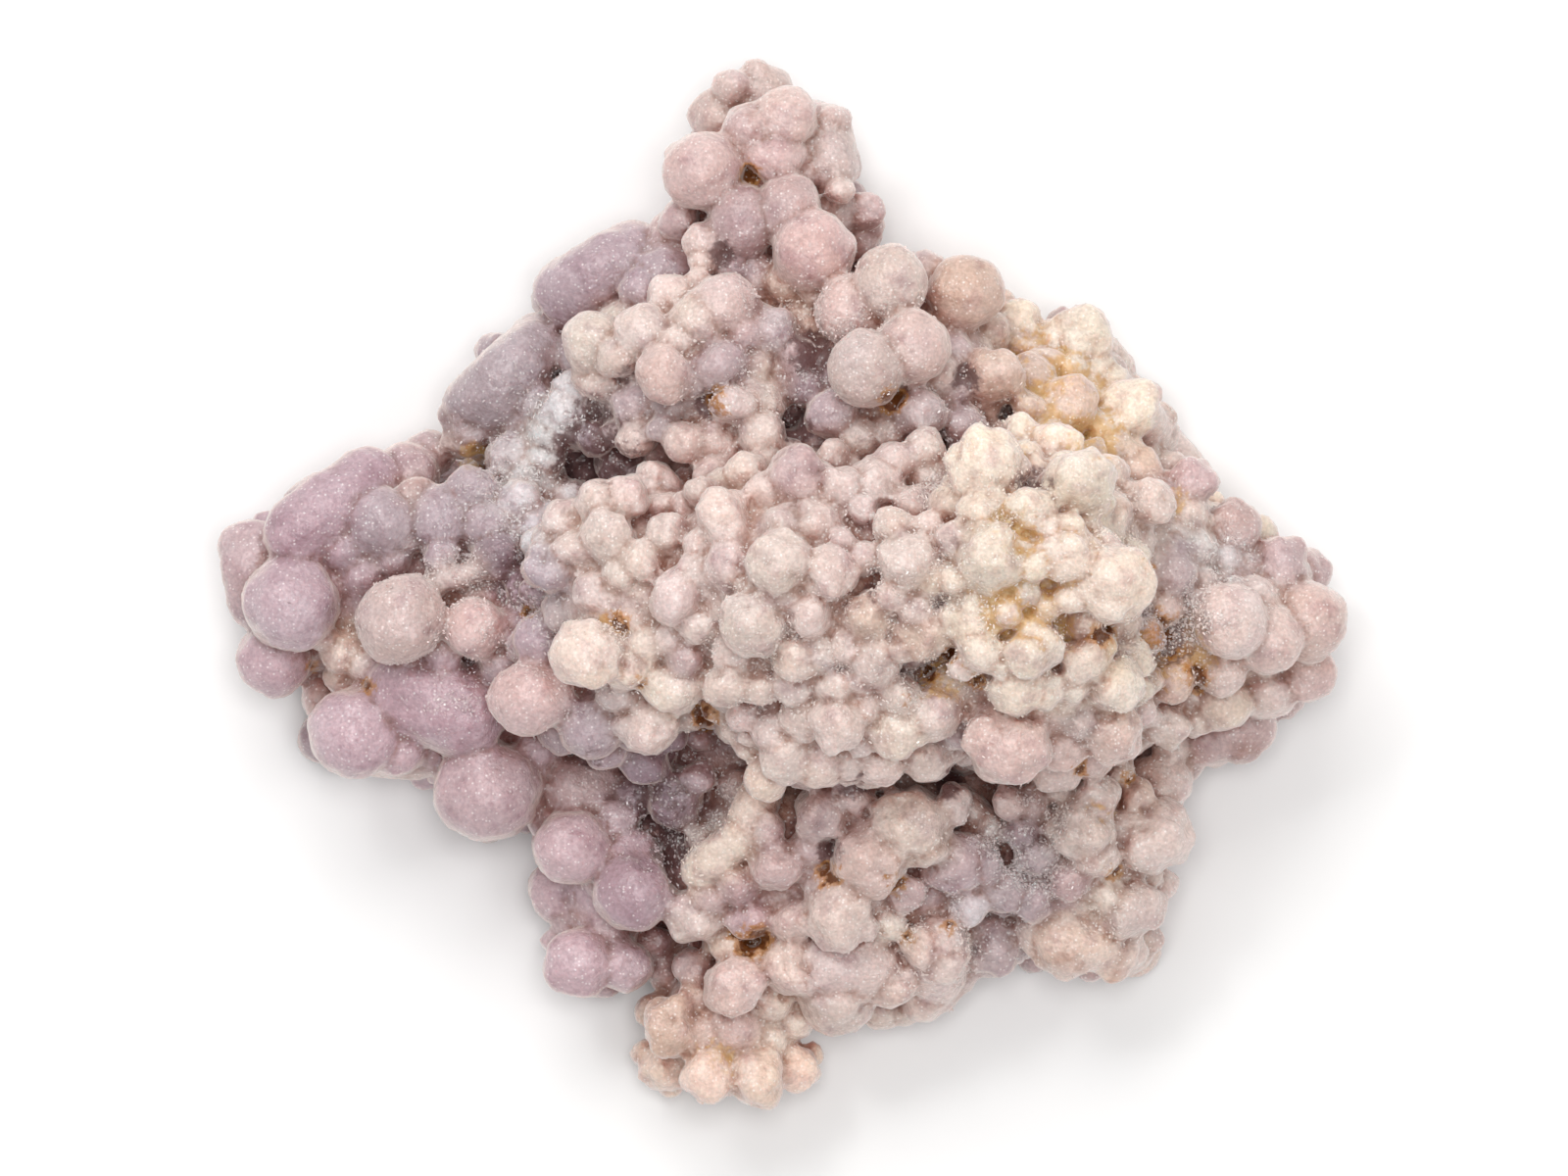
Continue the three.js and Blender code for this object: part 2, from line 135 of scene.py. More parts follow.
# The smaller balls that the photo shows between them: centre x, y, roughly z, and radius
smallBalls = {
    "summit": ("blush", [
        (5, 35, 19, 1.3), (7.2, 33.2, 16, 1.5, "mauve"), (-9.2, 32.6, 18, 1.8, "mauve"),
        (-7.2, 30.4, 19.5, 1.7), (-7.2, 28.9, 20, 1.3), (-3, 40, 17, 2.4, "mauve"), (4.4, 41, 14, 1.6),
        (2.4, 36.4, 17, 1.2, "mauve"), (-4.4, 44.2, 13, 1.6), (-4.2, 36, 17, 1.5, "wine"),
    ]),
    "upperLeftShoulder": ("violet", [
        (-20, 25.4, 8, 2.2), (-10.5, 27.8, 15, 2.4, "haze"), (-2, 27.2, 18, 2.2, "haze"),
        (-12.6, 26.2, 16, 2, "haze"),
    ]),
    "upperMiddle": ("blush", [
        (-7.4, 23.6, 23.5, 2.1), (-7.4, 26.8, 21, 1.3), (-14.4, 20.6, 22, 2), (-16.4, 18.6, 19, 1.8),
        (-8, 18.6, 24, 1.7, "haze"), (-1.4, 22.4, 23, 2.1, "haze"), (0.4, 27, 20, 1.8, "tan"),
        (3.4, 26, 20, 1.8, "tan"), (0.9, 20.2, 22, 1.9, "wine"), (-2.4, 19.4, 23, 1.6, "tan"),
        (0.4, 18.2, 22, 1.5, "wine"), (-4.4, 16, 26, 1.6), (-2.3, 16, 27, 2), (-1.9, 13.6, 28, 1.8),
        (-13.4, 15.9, 20, 1.8, "haze"), (-9.9, 15.6, 22, 1.3, "haze"), (-12.9, 13.2, 23, 1.7),
        (-8.8, 12.8, 26, 1.6), (-10.8, 14, 23, 1.3, "haze"), (-9.4, 21.4, 24, 1.6),
        (-3.4, 22.4, 24, 1.3, "mauve"),
    ]),
    "upperRight": ("blush", [
        (12.6, 27, 18, 2.3, "mauve"), (13.4, 18.8, 25, 1.8), (15.2, 20.6, 21, 1.7, "haze"),
        (18.2, 22.4, 18, 1.8, "tan"), (15.3, 17.2, 24, 1.5, "haze"), (4.2, 15.3, 27, 2, "haze"),
        (15.9, 13.9, 28, 2.1, "haze"), (6.8, 13.2, 27, 1.8), (9.3, 13.5, 28, 1.4),
        (17.6, 16.2, 22, 1.6, "tan"), (9.6, 16.4, 25, 1.3, "tan"), (19.2, 24.6, 14, 1.5, "tan"),
        (13.8, 23.6, 21, 1.6, "tan"), (2.6, 26.2, 21, 1.5, "tan"), (2, 17.4, 24, 1.4, "dusk"),
    ]),
    "rightArm": ("cream", [
        (21.2, 21.4, 16, 1.6), (28.2, 21, 12, 1.5), (24.2, 21.8, 16, 1.7), (27, 19.4, 16, 1.8),
        (23.8, 14.8, 22, 1.7), (29.4, 12.2, 20, 1.8, "tan"), (31.5, 10.3, 20, 1.7, "tan"),
        (23, 19.6, 18, 1.5), (25.4, 19.2, 18, 1.2), (28.8, 17.8, 16, 1.6), (27.6, 14.2, 20, 1.6),
        (33.2, 14.8, 13, 1.5), (34, 10.6, 15, 1.5, "blush"), (29.4, 19.8, 11, 1.4), (24.6, 23.6, 10, 1.3),
        (21.8, 15.6, 23, 1.5, "tan"),
    ]),
    "rightSlope": ("blush", [
        (42, 4.5, 13, 1.6, "cream"), (46.1, 1.3, 11, 2, "mauve"), (41.4, -1.4, 20, 2.2),
        (42.4, -6.4, 16, 1.5, "cream"), (43.2, -8.6, 13, 1.8), (38.6, -7.6, 20, 2),
        (38.2, -14.2, 9, 1.5, "mauve"), (35.6, 6.3, 20, 2.1), (31, 4, 25, 1.9), (28.8, 6.6, 26, 1.8, "tan"),
        (34.4, 1, 24, 2, "haze"), (33.4, -1.9, 24, 1.6, "tan"), (31.5, -4.2, 26, 1.8, "haze"),
        (29.6, -3.2, 28, 1.6, "tan"), (36.6, 3.4, 20, 1.6, "white"), (38.6, 2.2, 19, 1.8, "white"),
        (40.6, 2, 17, 1.5, "white"), (36.6, 0.4, 22, 1.4), (42.6, 0.6, 16, 1.5), (44.4, -5.4, 15, 1.7),
        (41, -4.4, 19, 1.6), (44.6, -10.2, 9, 1.4), (36.4, -11.6, 16, 1.6), (48, -5.4, 9, 1.5, "rose"),
        (36.8, -1.2, 23, 1.2, "white"), (39.8, -0.4, 21, 1.2, "white"),
    ]),
    "crest": ("cream", [
        (20.8, 13.6, 29, 1.7), (23.7, 12.2, 30, 2), (20.8, 10.4, 36, 1), (26.5, 5.9, 36, 1),
        (17.6, 6.5, 38, 1.8), (25.1, 4.8, 38.5, 1.6), (28, 3.4, 36, 1.6), (21.2, -0.5, 40.5, 1.1),
        (17.3, -5.5, 37, 2.1), (21.4, -6, 38, 1.9), (22.6, -8.9, 34, 1.9), (25.3, -8.8, 33, 1.6),
        (30.6, -6.4, 28, 1.7), (14.9, 6.8, 35, 1.8, "tan"), (23.2, 5.2, 39, 1.1), (22, 1.8, 40.5, 1.2),
        (19.4, 8.6, 36.5, 1.3), (24, 8.8, 35, 1.5), (15.4, 9, 34, 1.4), (25.2, -1, 39.5, 1.3),
        (19.6, -2.4, 40, 1.3), (26.4, -3.4, 37, 1.4), (29, 6, 30, 1.4), (30.4, 2.8, 30, 1.4),
        (28, -5.4, 33.5, 1.3, "ochre"), (19, -7, 37, 1.2), (14.9, 0.6, 38.5, 1.3),
        (23, -1.9, 40, 1.2, "ochre"), (21.2, 11.8, 33, 1.2), (24.6, 10.6, 33, 1.3), (28.6, 10.2, 27, 1.5),
    ]),
    "ridge": ("blush", [
        (12.5, 10, 33, 2.1), (5.1, 8.7, 33, 1.8), (7, 6.8, 35, 1.3), (9.6, 11.2, 31, 1.6),
        (12.4, 12.2, 30, 1.5), (4.2, 11.4, 29, 1.5), (-1.5, 8.4, 31, 1.8), (0, 5.3, 33.5, 1.9),
        (2.9, 5.7, 33.5, 1.9), (-5, 2.2, 33, 2.1), (7.2, 2.5, 36, 1.5), (14.8, 4, 38, 1.6),
        (13.1, 0.7, 37.5, 1.5, "tan"), (11.8, -2, 36.5, 1.5), (7.5, -2.5, 35.5, 1.9, "tan"),
        (5.6, -5, 34.5, 1.6), (10.4, -5.6, 35.5, 1.1), (15.8, -7, 36, 1.4), (13.6, -11.2, 32, 1.9),
        (3.5, -5.9, 34, 1.5), (1, -6.3, 34, 1.6), (-4.4, -5.8, 32, 1.5), (-3.8, -11.4, 29, 1.4),
        (0.6, -8.6, 32.5, 1.7), (1.9, -11.2, 31, 1.8), (4.6, -8.8, 33, 1.7), (7.2, -10.6, 32.5, 1.2),
        (-1, -12.6, 29, 1.6), (3.4, -15.4, 28, 1.8), (0.2, -14.8, 28, 2.3), (12.4, -15, 26.5, 2.2),
        (8.4, -15.6, 27.5, 2), (5.8, -15.4, 28, 1.4), (15.2, -12.8, 29, 1.5, "haze"), (18, -11.6, 31, 1.6),
        (9.6, 5.2, 36, 1.5), (5, 4, 35, 1.3), (2.4, -2.4, 36, 1.7), (9.4, -0.6, 37, 1.4),
        (-2.6, -0.4, 34.5, 1.5), (-7.4, 3.8, 31, 1.6), (6.4, -8, 33.5, 1.3), (10.2, -9.6, 33, 1.6),
        (0.2, -0.6, 35.5, 1.4), (11.4, 7.2, 35.5, 1.5), (-3.4, 10.4, 29, 1.5), (6.8, -13.6, 30.5, 1.3),
        (-2, -9, 32, 1.5), (12.6, 5.2, 36.5, 1.3),
    ]),
    "leftRidge": ("blush", [
        (-7.4, 1.2, 31.5, 1.9), (-10.2, -4.4, 29.5, 1.4), (-8.8, -6.4, 29, 1.7, "mauve"),
        (-18, 3.4, 26.5, 1.8), (-16.2, 7.2, 26.5, 1.9), (-13.8, 8, 26.5, 1.8), (-11.4, 9, 26, 1.9),
        (-16.8, -0.6, 27.5, 1.7), (-13.8, -6.7, 28, 2, "cream"), (-12.2, -5, 29, 1.4, "cream"),
        (-14.8, -9.4, 25, 1.5), (-12.6, 2.4, 29.5, 1.6), (-10.2, 4.6, 30, 1.8), (-14.2, 1.2, 29, 1.4),
        (-7.6, -3.4, 31, 1.6), (-13.6, -2.6, 28.5, 1.2, "tan"), (-7.4, 8.4, 30, 1.5),
        (-19.4, -2.4, 24, 1.7, "haze"), (-20.6, 4.2, 24, 1.6, "white"),
    ]),
    "whiteCrust": ("white", [
        (-18.5, 17.4, 16, 1.7), (-18.2, 13.6, 15, 1.6, "dusk"), (-20.6, 13.3, 15, 1.7), (-23.2, 7.4, 17, 1.7),
        (-21.4, 3.6, 21, 1.5), (-14.8, 11, 18, 1.8, "dusk"), (-21.2, 11.4, 15, 1.5),
        (-24.2, 11.4, 14, 1.8, "haze"), (-16.8, 13, 17, 1.5, "dusk"), (-17.4, 10, 18, 1.6, "dusk"),
    ]),
    "leftSlab": ("haze", [
        (-22.2, 16.9, 13.5, 2), (-25.4, 20.6, 9, 1.7), (-28.4, 13.2, 11, 1.9, "tan"),
    ]),
    "leftArm": ("violet", [
        (-31.4, 11.9, 9, 1.8, "mauve"), (-34.6, 12, 7, 1.5, "mauve"), (-27.6, 8.6, 16, 1.9, "haze"),
        (-23.6, -4, 17, 2.6), (-37.3, -6.6, 13.5, 1.6, "cream"), (-39.4, -7.9, 12, 1.3, "tan"),
        (-40.9, -4.3, 14.5, 1.4, "cream"), (-38.8, 3.4, 15, 2, "haze"), (-37, 0.8, 15, 1.8, "mauve"),
        (-34.6, 2.2, 15.5, 1.7, "mauve"), (-25.4, 2.8, 18, 2, "dusk"), (-26.2, 5.2, 17, 2, "haze"),
        (-32.6, 7.8, 15, 1.8, "tan"), (-33.4, 4.6, 16, 1.3, "white"), (-30.2, -6, 17, 1.8),
        (-30.4, 2.6, 17.5, 1.6, "haze"),
    ]),
    "lowerLeft": ("lilac", [
        (-41, -10, 9, 1.8, "blush"), (-31, -14, 11, 2.4, "violet"), (-26.4, -20.9, 8, 1.9),
        (-19.6, -12.6, 17, 2.4, "haze"), (-15.8, -14.2, 18, 1.8, "haze"), (-21.8, -14.2, 14, 1.9, "violet"),
        (-19.6, -26.8, 8, 2.4), (-18.6, -29.9, 8, 1.6, "mauve"), (-13.6, -23.9, 13, 2.5),
        (-16.2, -26.2, 12, 1.6), (-15.8, -30.6, 10, 1.8, "mauve"), (-13.2, -18.4, 14, 2, "dusk"),
        (-9.6, -18.6, 17, 2.4, "dusk"), (-12.4, -15.4, 18, 1.9, "dusk"), (-7.6, -16.8, 22, 1.3),
        (-22.8, -19.8, 9, 2), (-35.6, -9.4, 13, 1.7, "violet"), (-24.8, -6.8, 16, 1.8),
        (-15, -20.6, 13.5, 1.7, "mauve"), (-11.6, -31.4, 11, 1.5, "mauve"), (-20.2, -31.4, 7, 1.2),
        (-16.2, -35, 6, 1.5), (-22, -16, 12, 1.7, "mauve"), (-41.2, -13.6, 7, 1.8), (-20.6, -20.6, 11, 1.8),
    ]),
    "lowerTier": ("blush", [
        (-9.2, -32, 12, 1.6), (-10.6, -34, 9, 1.5, "mauve"), (-8, -33.8, 11, 1.6, "mauve"),
        (5.9, -18.6, 20, 2, "mauve"), (12.6, -23.2, 20.5, 1.5), (15, -19.2, 20, 1.6),
        (9.2, -29.8, 17, 1.5, "cream"), (0.8, -29.4, 16.5, 1.9, "rose"), (3.6, -26.6, 18, 1.8, "mauve"),
        (12.4, -31.8, 14, 1.9, "tan"), (24, -15.8, 22, 2), (24.6, -17.8, 20, 1.3),
        (27, -14.6, 21, 1.8, "rose"), (25.8, -11.6, 24, 1.6), (31.4, -11.2, 20, 1.5), (34.2, -14, 14, 1.6),
        (21.6, -19, 19, 1.7, "mauve"), (27.6, -18.6, 18.5, 2), (27.2, -23.4, 18, 1.9),
        (25.2, -25.8, 17, 1.7, "mauve"), (35.2, -15.6, 9, 1.6), (31, -24.6, 13, 1.4), (33.2, -26.4, 9, 1.4),
        (32, -31.2, 7, 1.5), (27.4, -30.2, 11, 1.6), (22.4, -30.6, 12.5, 1.6), (22, -33, 9, 1.4),
        (27.6, -33.4, 7, 1.5), (17.6, -24.4, 17.5, 1.7, "haze"), (19.6, -26.6, 16.5, 1.9, "haze"),
        (22.4, -23.8, 17, 1.9, "haze"), (22.2, -27.6, 15.5, 1.7, "haze"), (16.4, -28.2, 16, 1.7, "white"),
        (10.6, -27.2, 17.5, 1.6, "mauve"), (6.8, -27.2, 17.5, 1.5), (2.2, -23, 18.8, 1.5, "mauve"),
        (8.6, -21, 19.5, 1.5, "mauve"), (29.4, -16.2, 18.5, 1.5, "tan"), (31.2, -18.8, 15.5, 1.7, "tan"),
        (28.4, -27, 14.5, 1.8, "cream"), (30, -21.4, 16, 1.5), (-4.2, -26.4, 17, 1.8, "wine"),
        (-3, -29.2, 15.5, 1.8, "wine"), (-6.4, -27.4, 16, 1.5, "mauve"), (-1.6, -21.4, 19, 1.6, "mauve"),
        (19.8, -19, 20, 1.4, "mauve"), (7.6, -31.4, 15, 1.6), (15, -31.6, 13.5, 1.6, "tan"),
        (21, -21.6, 18.5, 1.5, "dusk"),
    ]),
    "bottomLobe": ("peach", [
        (14.2, -33, 12, 1.8, "blush"), (15.6, -34.6, 9, 1.3, "blush"), (8.6, -37.4, 7, 1.7, "blush"),
        (6.8, -34, 12, 1.7, "blush"), (2.2, -36.8, 9, 1.9, "blush"), (-1, -36.6, 11.5, 1.7, "cream"),
        (-4.8, -31.9, 13.5, 1.6, "tan"), (-2.4, -33.4, 14, 1.4), (0.9, -38.4, 9.5, 1.6, "cream"),
        (-1.1, -40, 9, 1.6, "cream"), (-7.9, -36.8, 11, 1.4, "tan"), (-7.4, -39.6, 10, 1.9, "rose"),
        (-4.3, -39, 11, 1.6, "rose"), (-12.2, -41.4, 5, 1.2), (-8.8, -42.9, 6, 1.6), (-4.7, -43.2, 6.5, 1.7),
        (-5.6, -41.4, 8, 1.3, "tan"), (2.4, -41.6, 6, 1.3), (-11.6, -37.4, 7, 1.4, "tan"),
        (11, -37.2, 7, 1.6, "blush"), (-6.6, -45, 4.5, 1), (-10.2, -44.2, 4.5, 1.2),
        (-2, -42, 8, 1.4, "cream"), (2.6, -34.6, 12, 1.4),
    ]),
}

# Longer bodies, where balls have grown together in a row: x, y, z of both ends, radius of both,
# how far they stand out, region and tone
rods = [
    ((3.7, 40.4, 15), (4.1, 37.2, 15), (2.5, 2.5), 0.5, "summit", "blush"),
    ((-18.8, 26.2, 9), (-13.4, 29.2, 11), (3.3, 3.3), 0.35, "upperLeftShoulder", "haze"),
    ((-27.2, 16.2, 11), (-21.6, 21.4, 11), (3, 2.9), 0.3, "leftSlab", "haze"),
    ((-42.8, 4.9, 11), (-36.9, 9.2, 10), (3.3, 3.3), 0.45, "leftArm", "violet"),
    ((-47.2, 3.2, 9), (-46.6, -1, 9), (2.9, 2.8), 0.4, "leftArm", "lilac"),
    ((-31.2, 0.2, 17), (-27.2, 1.4, 18), (1.1, 1), 0.9, "leftArm", "blush"),
    ((-33, -9.2, 12), (-28.4, -11, 13), (4, 4), 0.1, "lowerLeft", "violet"),
    ((-36, -15.2, 8), (-32.2, -15.9, 8), (1.7, 1.2), 0.5, "lowerLeft", "blush"),
    ((-25, -6.4, 16), (-21.6, -4.6, 17), (2.3, 2.3), 0.3, "lowerLeft", "violet"),
    ((-1.6, -17, 21), (-3, -20.6, 21), (2, 2.1), 0.9, "lowerTier", "cream"),
    ((-3.4, -21.6, 20), (-7.4, -25, 18), (1.9, 1.8), 0.9, "lowerTier", "cream"),
    ((15.6, -19, 20), (18.3, -21.4, 18), (1.7, 1.6), 0.8, "lowerTier", "blush"),
    ((37.6, -13.6, 9), (41.4, -12.6, 9), (2.2, 2.3), 0.5, "rightSlope", "mauve"),
    ((24.4, -31.4, 9), (31, -32.2, 7), (2.1, 2.5), 0.5, "lowerTier", "peach"),
    ((13.6, -31.6, 13), (13.2, -35.2, 10), (2.6, 2.7), 0.6, "lowerTier", "blush"),
    ((4, -33.2, 13), (7.4, -33.4, 13), (3.1, 3), 0.3, "lowerTier", "blush"),
    ((31, 15.2, 15), (35.2, 10.6, 13), (2.4, 2.3), 0.4, "rightArm", "blush"),
]

# Smoother places where no ball fills the stone: x, y and reach, in mm
bareSpots = [
    (-22.5, 18.5, 5), (-25.5, 16, 4.5), (-17.5, 26.5, 4.5), (-14.5, 28, 4), (-40, 7.5, 5), (-46.5, 2, 4.5),
    (-36.5, 1.5, 3.5), (-17, 12, 4), (21.5, -23, 2.5), (-30.5, -11, 5), (-35.5, 6.5, 4), (-24, -13, 4),
    (33.8, -4.2, 3), (-1, 38, 9), (8, 23.5, 6.5), (16, 26, 4), (-26, -18, 5), (-38, -12, 5), (-16, -25, 8),
]

# How the surface is built up, in mm
growth = {
    "drawnCentre": (-0.21, -0.20),    # moves the drawn cluster onto the frame's origin
    "proudShares": (0.3, 0.7),        # a main ball's centre is this share of its radius off the lobes
    "ballShare": {"main": 1.02, "small": 1.12, "filler": 1.0, "bud": 1.0, "rod": 1.0},  # size as grown
    "settleStep": 0.1,
    "rodStep": 0.33,                  # a rod's balls are this share of its radius apart
    "stalkFrom": 0.9,                 # balls that stand out further than this have a stalk beneath,
    "stalk": 0.7,                     # this share of their radius lower and thick
    "smallRise": 0.6,                 # a small ball's centre is this share of its radius above its ground
    "fillRise": 0.3,                  # the same for a ball that fills a gap,
    "bareSlope": 0.5,                 # how far up a place must face to count as on top
    "fillInset": 0.65,                # which is set in by this share where it faces sideways
    "fillTries": 26000,
    "fillShare": (0.6, 1.0),          # a filler's radius as a share of its neighbour's
    "fillRadius": (1.2, 2.5),
    "fillLowest": 1.6,
    "fillSpacing": (1.05, 0.78),      # how close fillers come to other balls, on top and beneath
    "budRadius": 2.3,                 # balls larger than this carry buds,
    "budShare": (0.3, 0.62),          # each this share of the ball's radius
    "budReach": 0.66,                 # and centred this share of it out
    "budCount": (1, 5),
    "evenRadius": 2.75,               # the largest balls of these regions carry fewer, and are rounder
    "evenBuds": (0, 1),
    "roundRegions": (
        "summit", "upperLeftShoulder", "upperMiddle", "upperRight", "leftArm", "lowerLeft", "rightSlope",
    ),
    "stretch": (0.17, 0.07),          # how far from round a ball may be, and one of the largest
    "highest": 41.7,                  # no ball's top is above this
    "voxel": 0.36,                    # how finely the grown surface is cut
    "swell": (2.0, 0.26),             # the unevenness left by growing: its grain and height
    "mostTriangles": 196000,
    "seed": 11,
}


def deselectAll():
    if bpy.context.object and bpy.context.object.mode != "OBJECT":
        bpy.ops.object.mode_set(mode="OBJECT")
    bpy.ops.object.select_all(action="DESELECT")


def makeActive(obj):
    deselectAll()
    obj.select_set(True)
    bpy.context.view_layer.objects.active = obj


def applyModifiers(obj):
    makeActive(obj)
    for modifier in list(obj.modifiers):
        bpy.ops.object.modifier_apply(modifier=modifier.name)


def joinObjects(objects, name):
    deselectAll()
    for obj in objects:
        obj.select_set(True)
    bpy.context.view_layer.objects.active = objects[0]
    if len(objects) > 1:
        bpy.ops.object.join()
    joined = bpy.context.object
    joined.name = name
    joined.data.name = name
    return joined


# How far a point is outside the nearest lobe, to within its curvature
def gapToLobes(x, y, z):
    gap = 99
    for centreX, centreY, centreZ, halfX, halfY, halfZ in lobes:
        u = (x - centreX) / halfX
        v = (y - centreY) / halfY
        w = (z - centreZ) / halfZ
        reach = math.sqrt(u * u + v * v + w * w)
        slope = math.sqrt((u / halfX) ** 2 + (v / halfY) ** 2 + (w / halfZ) ** 2)
        gap = min(gap, reach * (reach - 1) / slope if slope > 0 else -halfZ)
    return gap


def gapToBalls(x, y, z, balls):
    return min((math.dist((x, y, z), ball["centre"]) - ball["radius"] for ball in balls), default=99)


def readBalls(tables, kind):
    balls = []
    for region, (tone, rows) in tables.items():
        for row in rows:
            words = [part for part in row[4:] if isinstance(part, str)]
            shares = [part for part in row[4:] if not isinstance(part, str)]
            balls.append({
                "centre": row[:3], "radius": row[3], "tone": words[0] if words else tone,
                "region": region, "kind": kind, "share": shares[0] if shares else None,
            })
    return balls


# A row of balls so close that they make one smooth body
def readRods(dice):
    balls = []
    for number, (start, end, (firstRadius, lastRadius), share, region, tone) in enumerate(rods):
        steps = max(2, round(math.dist(start, end) / (growth["rodStep"] * firstRadius)))
        turn = (dice.uniform(0, 6.28), dice.uniform(0, 6.28))
        for step in range(steps + 1):
            along = step / steps
            balls.append({
                "centre": tuple(Vector(start).lerp(Vector(end), along)),
                "radius": firstRadius + (lastRadius - firstRadius) * along,
                "tone": tone, "region": region, "kind": "rod", "share": share,
                "body": number, "turn": turn,
            })
    return balls


# A main ball comes down until it has grown into the stone, or up until it shows
def settleMain(ball, dice):
    x, y, z = ball["centre"]
    z = min(z, growth["highest"] - ball["radius"])
    share = ball["share"] if ball["share"] is not None else dice.uniform(*growth["proudShares"])
    least = share * ball["radius"]
    most = least + growth["settleStep"]
    while z > ball["radius"] and gapToLobes(x, y, z) > most:
        z -= growth["settleStep"]
    while gapToLobes(x, y, z) < least and z < growth["highest"] - ball["radius"]:
        z += growth["settleStep"]
    ball["centre"] = (x, y, z)


# A small ball moves up or down until it just stands on what is there
def settleSmall(ball, others):
    x, y, z = ball["centre"]
    z = min(z, growth["highest"] - ball["radius"])
    near = [other for other in others if math.dist((x, y), other["centre"][:2]) < 9]
    aim = growth["smallRise"] * ball["radius"]

    def gap(height):
        return min(gapToLobes(x, y, height), gapToBalls(x, y, height, near))

    while z > ball["radius"] and gap(z) > aim:
        z -= 2 * growth["settleStep"]
    while z < growth["highest"] - ball["radius"] and gap(z) < -aim:
        z += 2 * growth["settleStep"]
    ball["centre"] = (x, y, z)


# Balls that no one drew fill the stone that still shows, on the hidden sides too
def fillGaps(balls):
    dice = random.Random(growth["seed"])
    hand = list(balls)
    areas = [lobe[3] * lobe[4] + lobe[4] * lobe[5] + lobe[3] * lobe[5] for lobe in lobes]
    lowest, highest = growth["fillRadius"]
    for _ in range(growth["fillTries"]):
        cx, cy, cz, hx, hy, hz = dice.choices(lobes, areas)[0]
        way = Vector([dice.gauss(0, 1) for _ in range(3)]).normalized()
        spot = (cx + way.x * hx, cy + way.y * hy, cz + way.z * hz)
        size = dice.uniform(*growth["fillShare"])
        dice.random()    # keeps the order of the draws
        if spot[2] < growth["fillLowest"] or gapToLobes(*spot) < -0.2:
            continue
        out = Vector((way.x / hx, way.y / hy, way.z / hz)).normalized()
        upright = out.z > growth["bareSlope"]
        if upright and any(math.dist(spot[:2], bare[:2]) < bare[2] for bare in bareSpots):
            continue
        parent = min(hand, key=lambda ball: math.dist(ball["centre"], spot) - ball["radius"])
        radius = min(max(parent["radius"] * size, lowest), highest)
        out *= radius * (growth["fillRise"] - growth["fillInset"] * (1 - abs(out.z)))
        spot = (spot[0] + out.x, spot[1] + out.y, spot[2] + out.z)
        spacing = growth["fillSpacing"][0 if upright else 1]
        crowded = any(
            math.dist(ball["centre"], spot) < spacing * (ball["radius"] + radius)
            for ball in balls
            if abs(ball["centre"][0] - spot[0]) < 8
        )
        if not crowded:
            balls.append({
                "centre": spot, "radius": radius, "tone": parent["tone"], "region": parent["region"],
                "kind": "filler",
            })


def isEven(ball):
    return ball["radius"] > growth["evenRadius"] and ball["region"] in growth["roundRegions"]


# Larger balls are not quite round: smaller ones have half grown out of them
def addBuds(balls):
    dice = random.Random(growth["seed"] + 2)
    buds = []
    for ball in balls:
        if ball["radius"] < growth["budRadius"] or ball["kind"] in ("filler", "rod"):
            continue
        for _ in range(dice.randint(*growth["evenBuds" if isEven(ball) else "budCount"])):
            way = Vector([dice.gauss(0, 1) for _ in range(3)]).normalized()
            radius = ball["radius"] * dice.uniform(*growth["budShare"])
            spot = Vector(ball["centre"]) + way * ball["radius"] * growth["budReach"]
            buds.append({**ball, "centre": tuple(spot), "radius": radius, "kind": "bud"})
    return buds


def growBalls():
    dice = random.Random(growth["seed"] + 3)
    balls = readBalls(mainBalls, "main") + readRods(dice)
    for ball in balls:
        settleMain(ball, dice)
    for ball in [ball for ball in balls if (ball["share"] or 0) > growth["stalkFrom"]]:
        x, y, z = ball["centre"]
        size = growth["stalk"] * ball["radius"]
        balls.append({**ball, "centre": (x, y, z - size), "radius": size, "kind": "rod"})
    for ball in sorted(readBalls(smallBalls, "small"), key=lambda ball: -ball["radius"]):
        settleSmall(ball, balls)
        balls.append(ball)
    drawn = len(balls)
    fillGaps(balls)
    print(f"balls placed: {drawn} drawn, {len(balls) - drawn} filled in")
    return balls


# The forms that the balls are copied from: how finely each is cut, the largest radius that it serves
# and how lumpy it is. The round ones and the even one serve the round regions and the rods.
ballForms = {
    "small": {"cuts": 3, "upTo": 1.75, "lump": 0.38, "grain": 1.0},
    "middle": {"cuts": 5, "upTo": 2.75, "lump": 0.42, "grain": 0.9},
    "large": {"cuts": 8, "upTo": 9.0, "lump": 0.34, "grain": 0.8},
    "roundSmall": {"cuts": 3, "upTo": 0, "lump": 0.3, "grain": 1.0},
    "roundMiddle": {"cuts": 5, "upTo": 0, "lump": 0.22, "grain": 0.9},
    "roundLarge": {"cuts": 8, "upTo": 0, "lump": 0.11, "grain": 0.9},
    "even": {"cuts": 6, "upTo": 0, "lump": 0.14, "grain": 0.9},
}


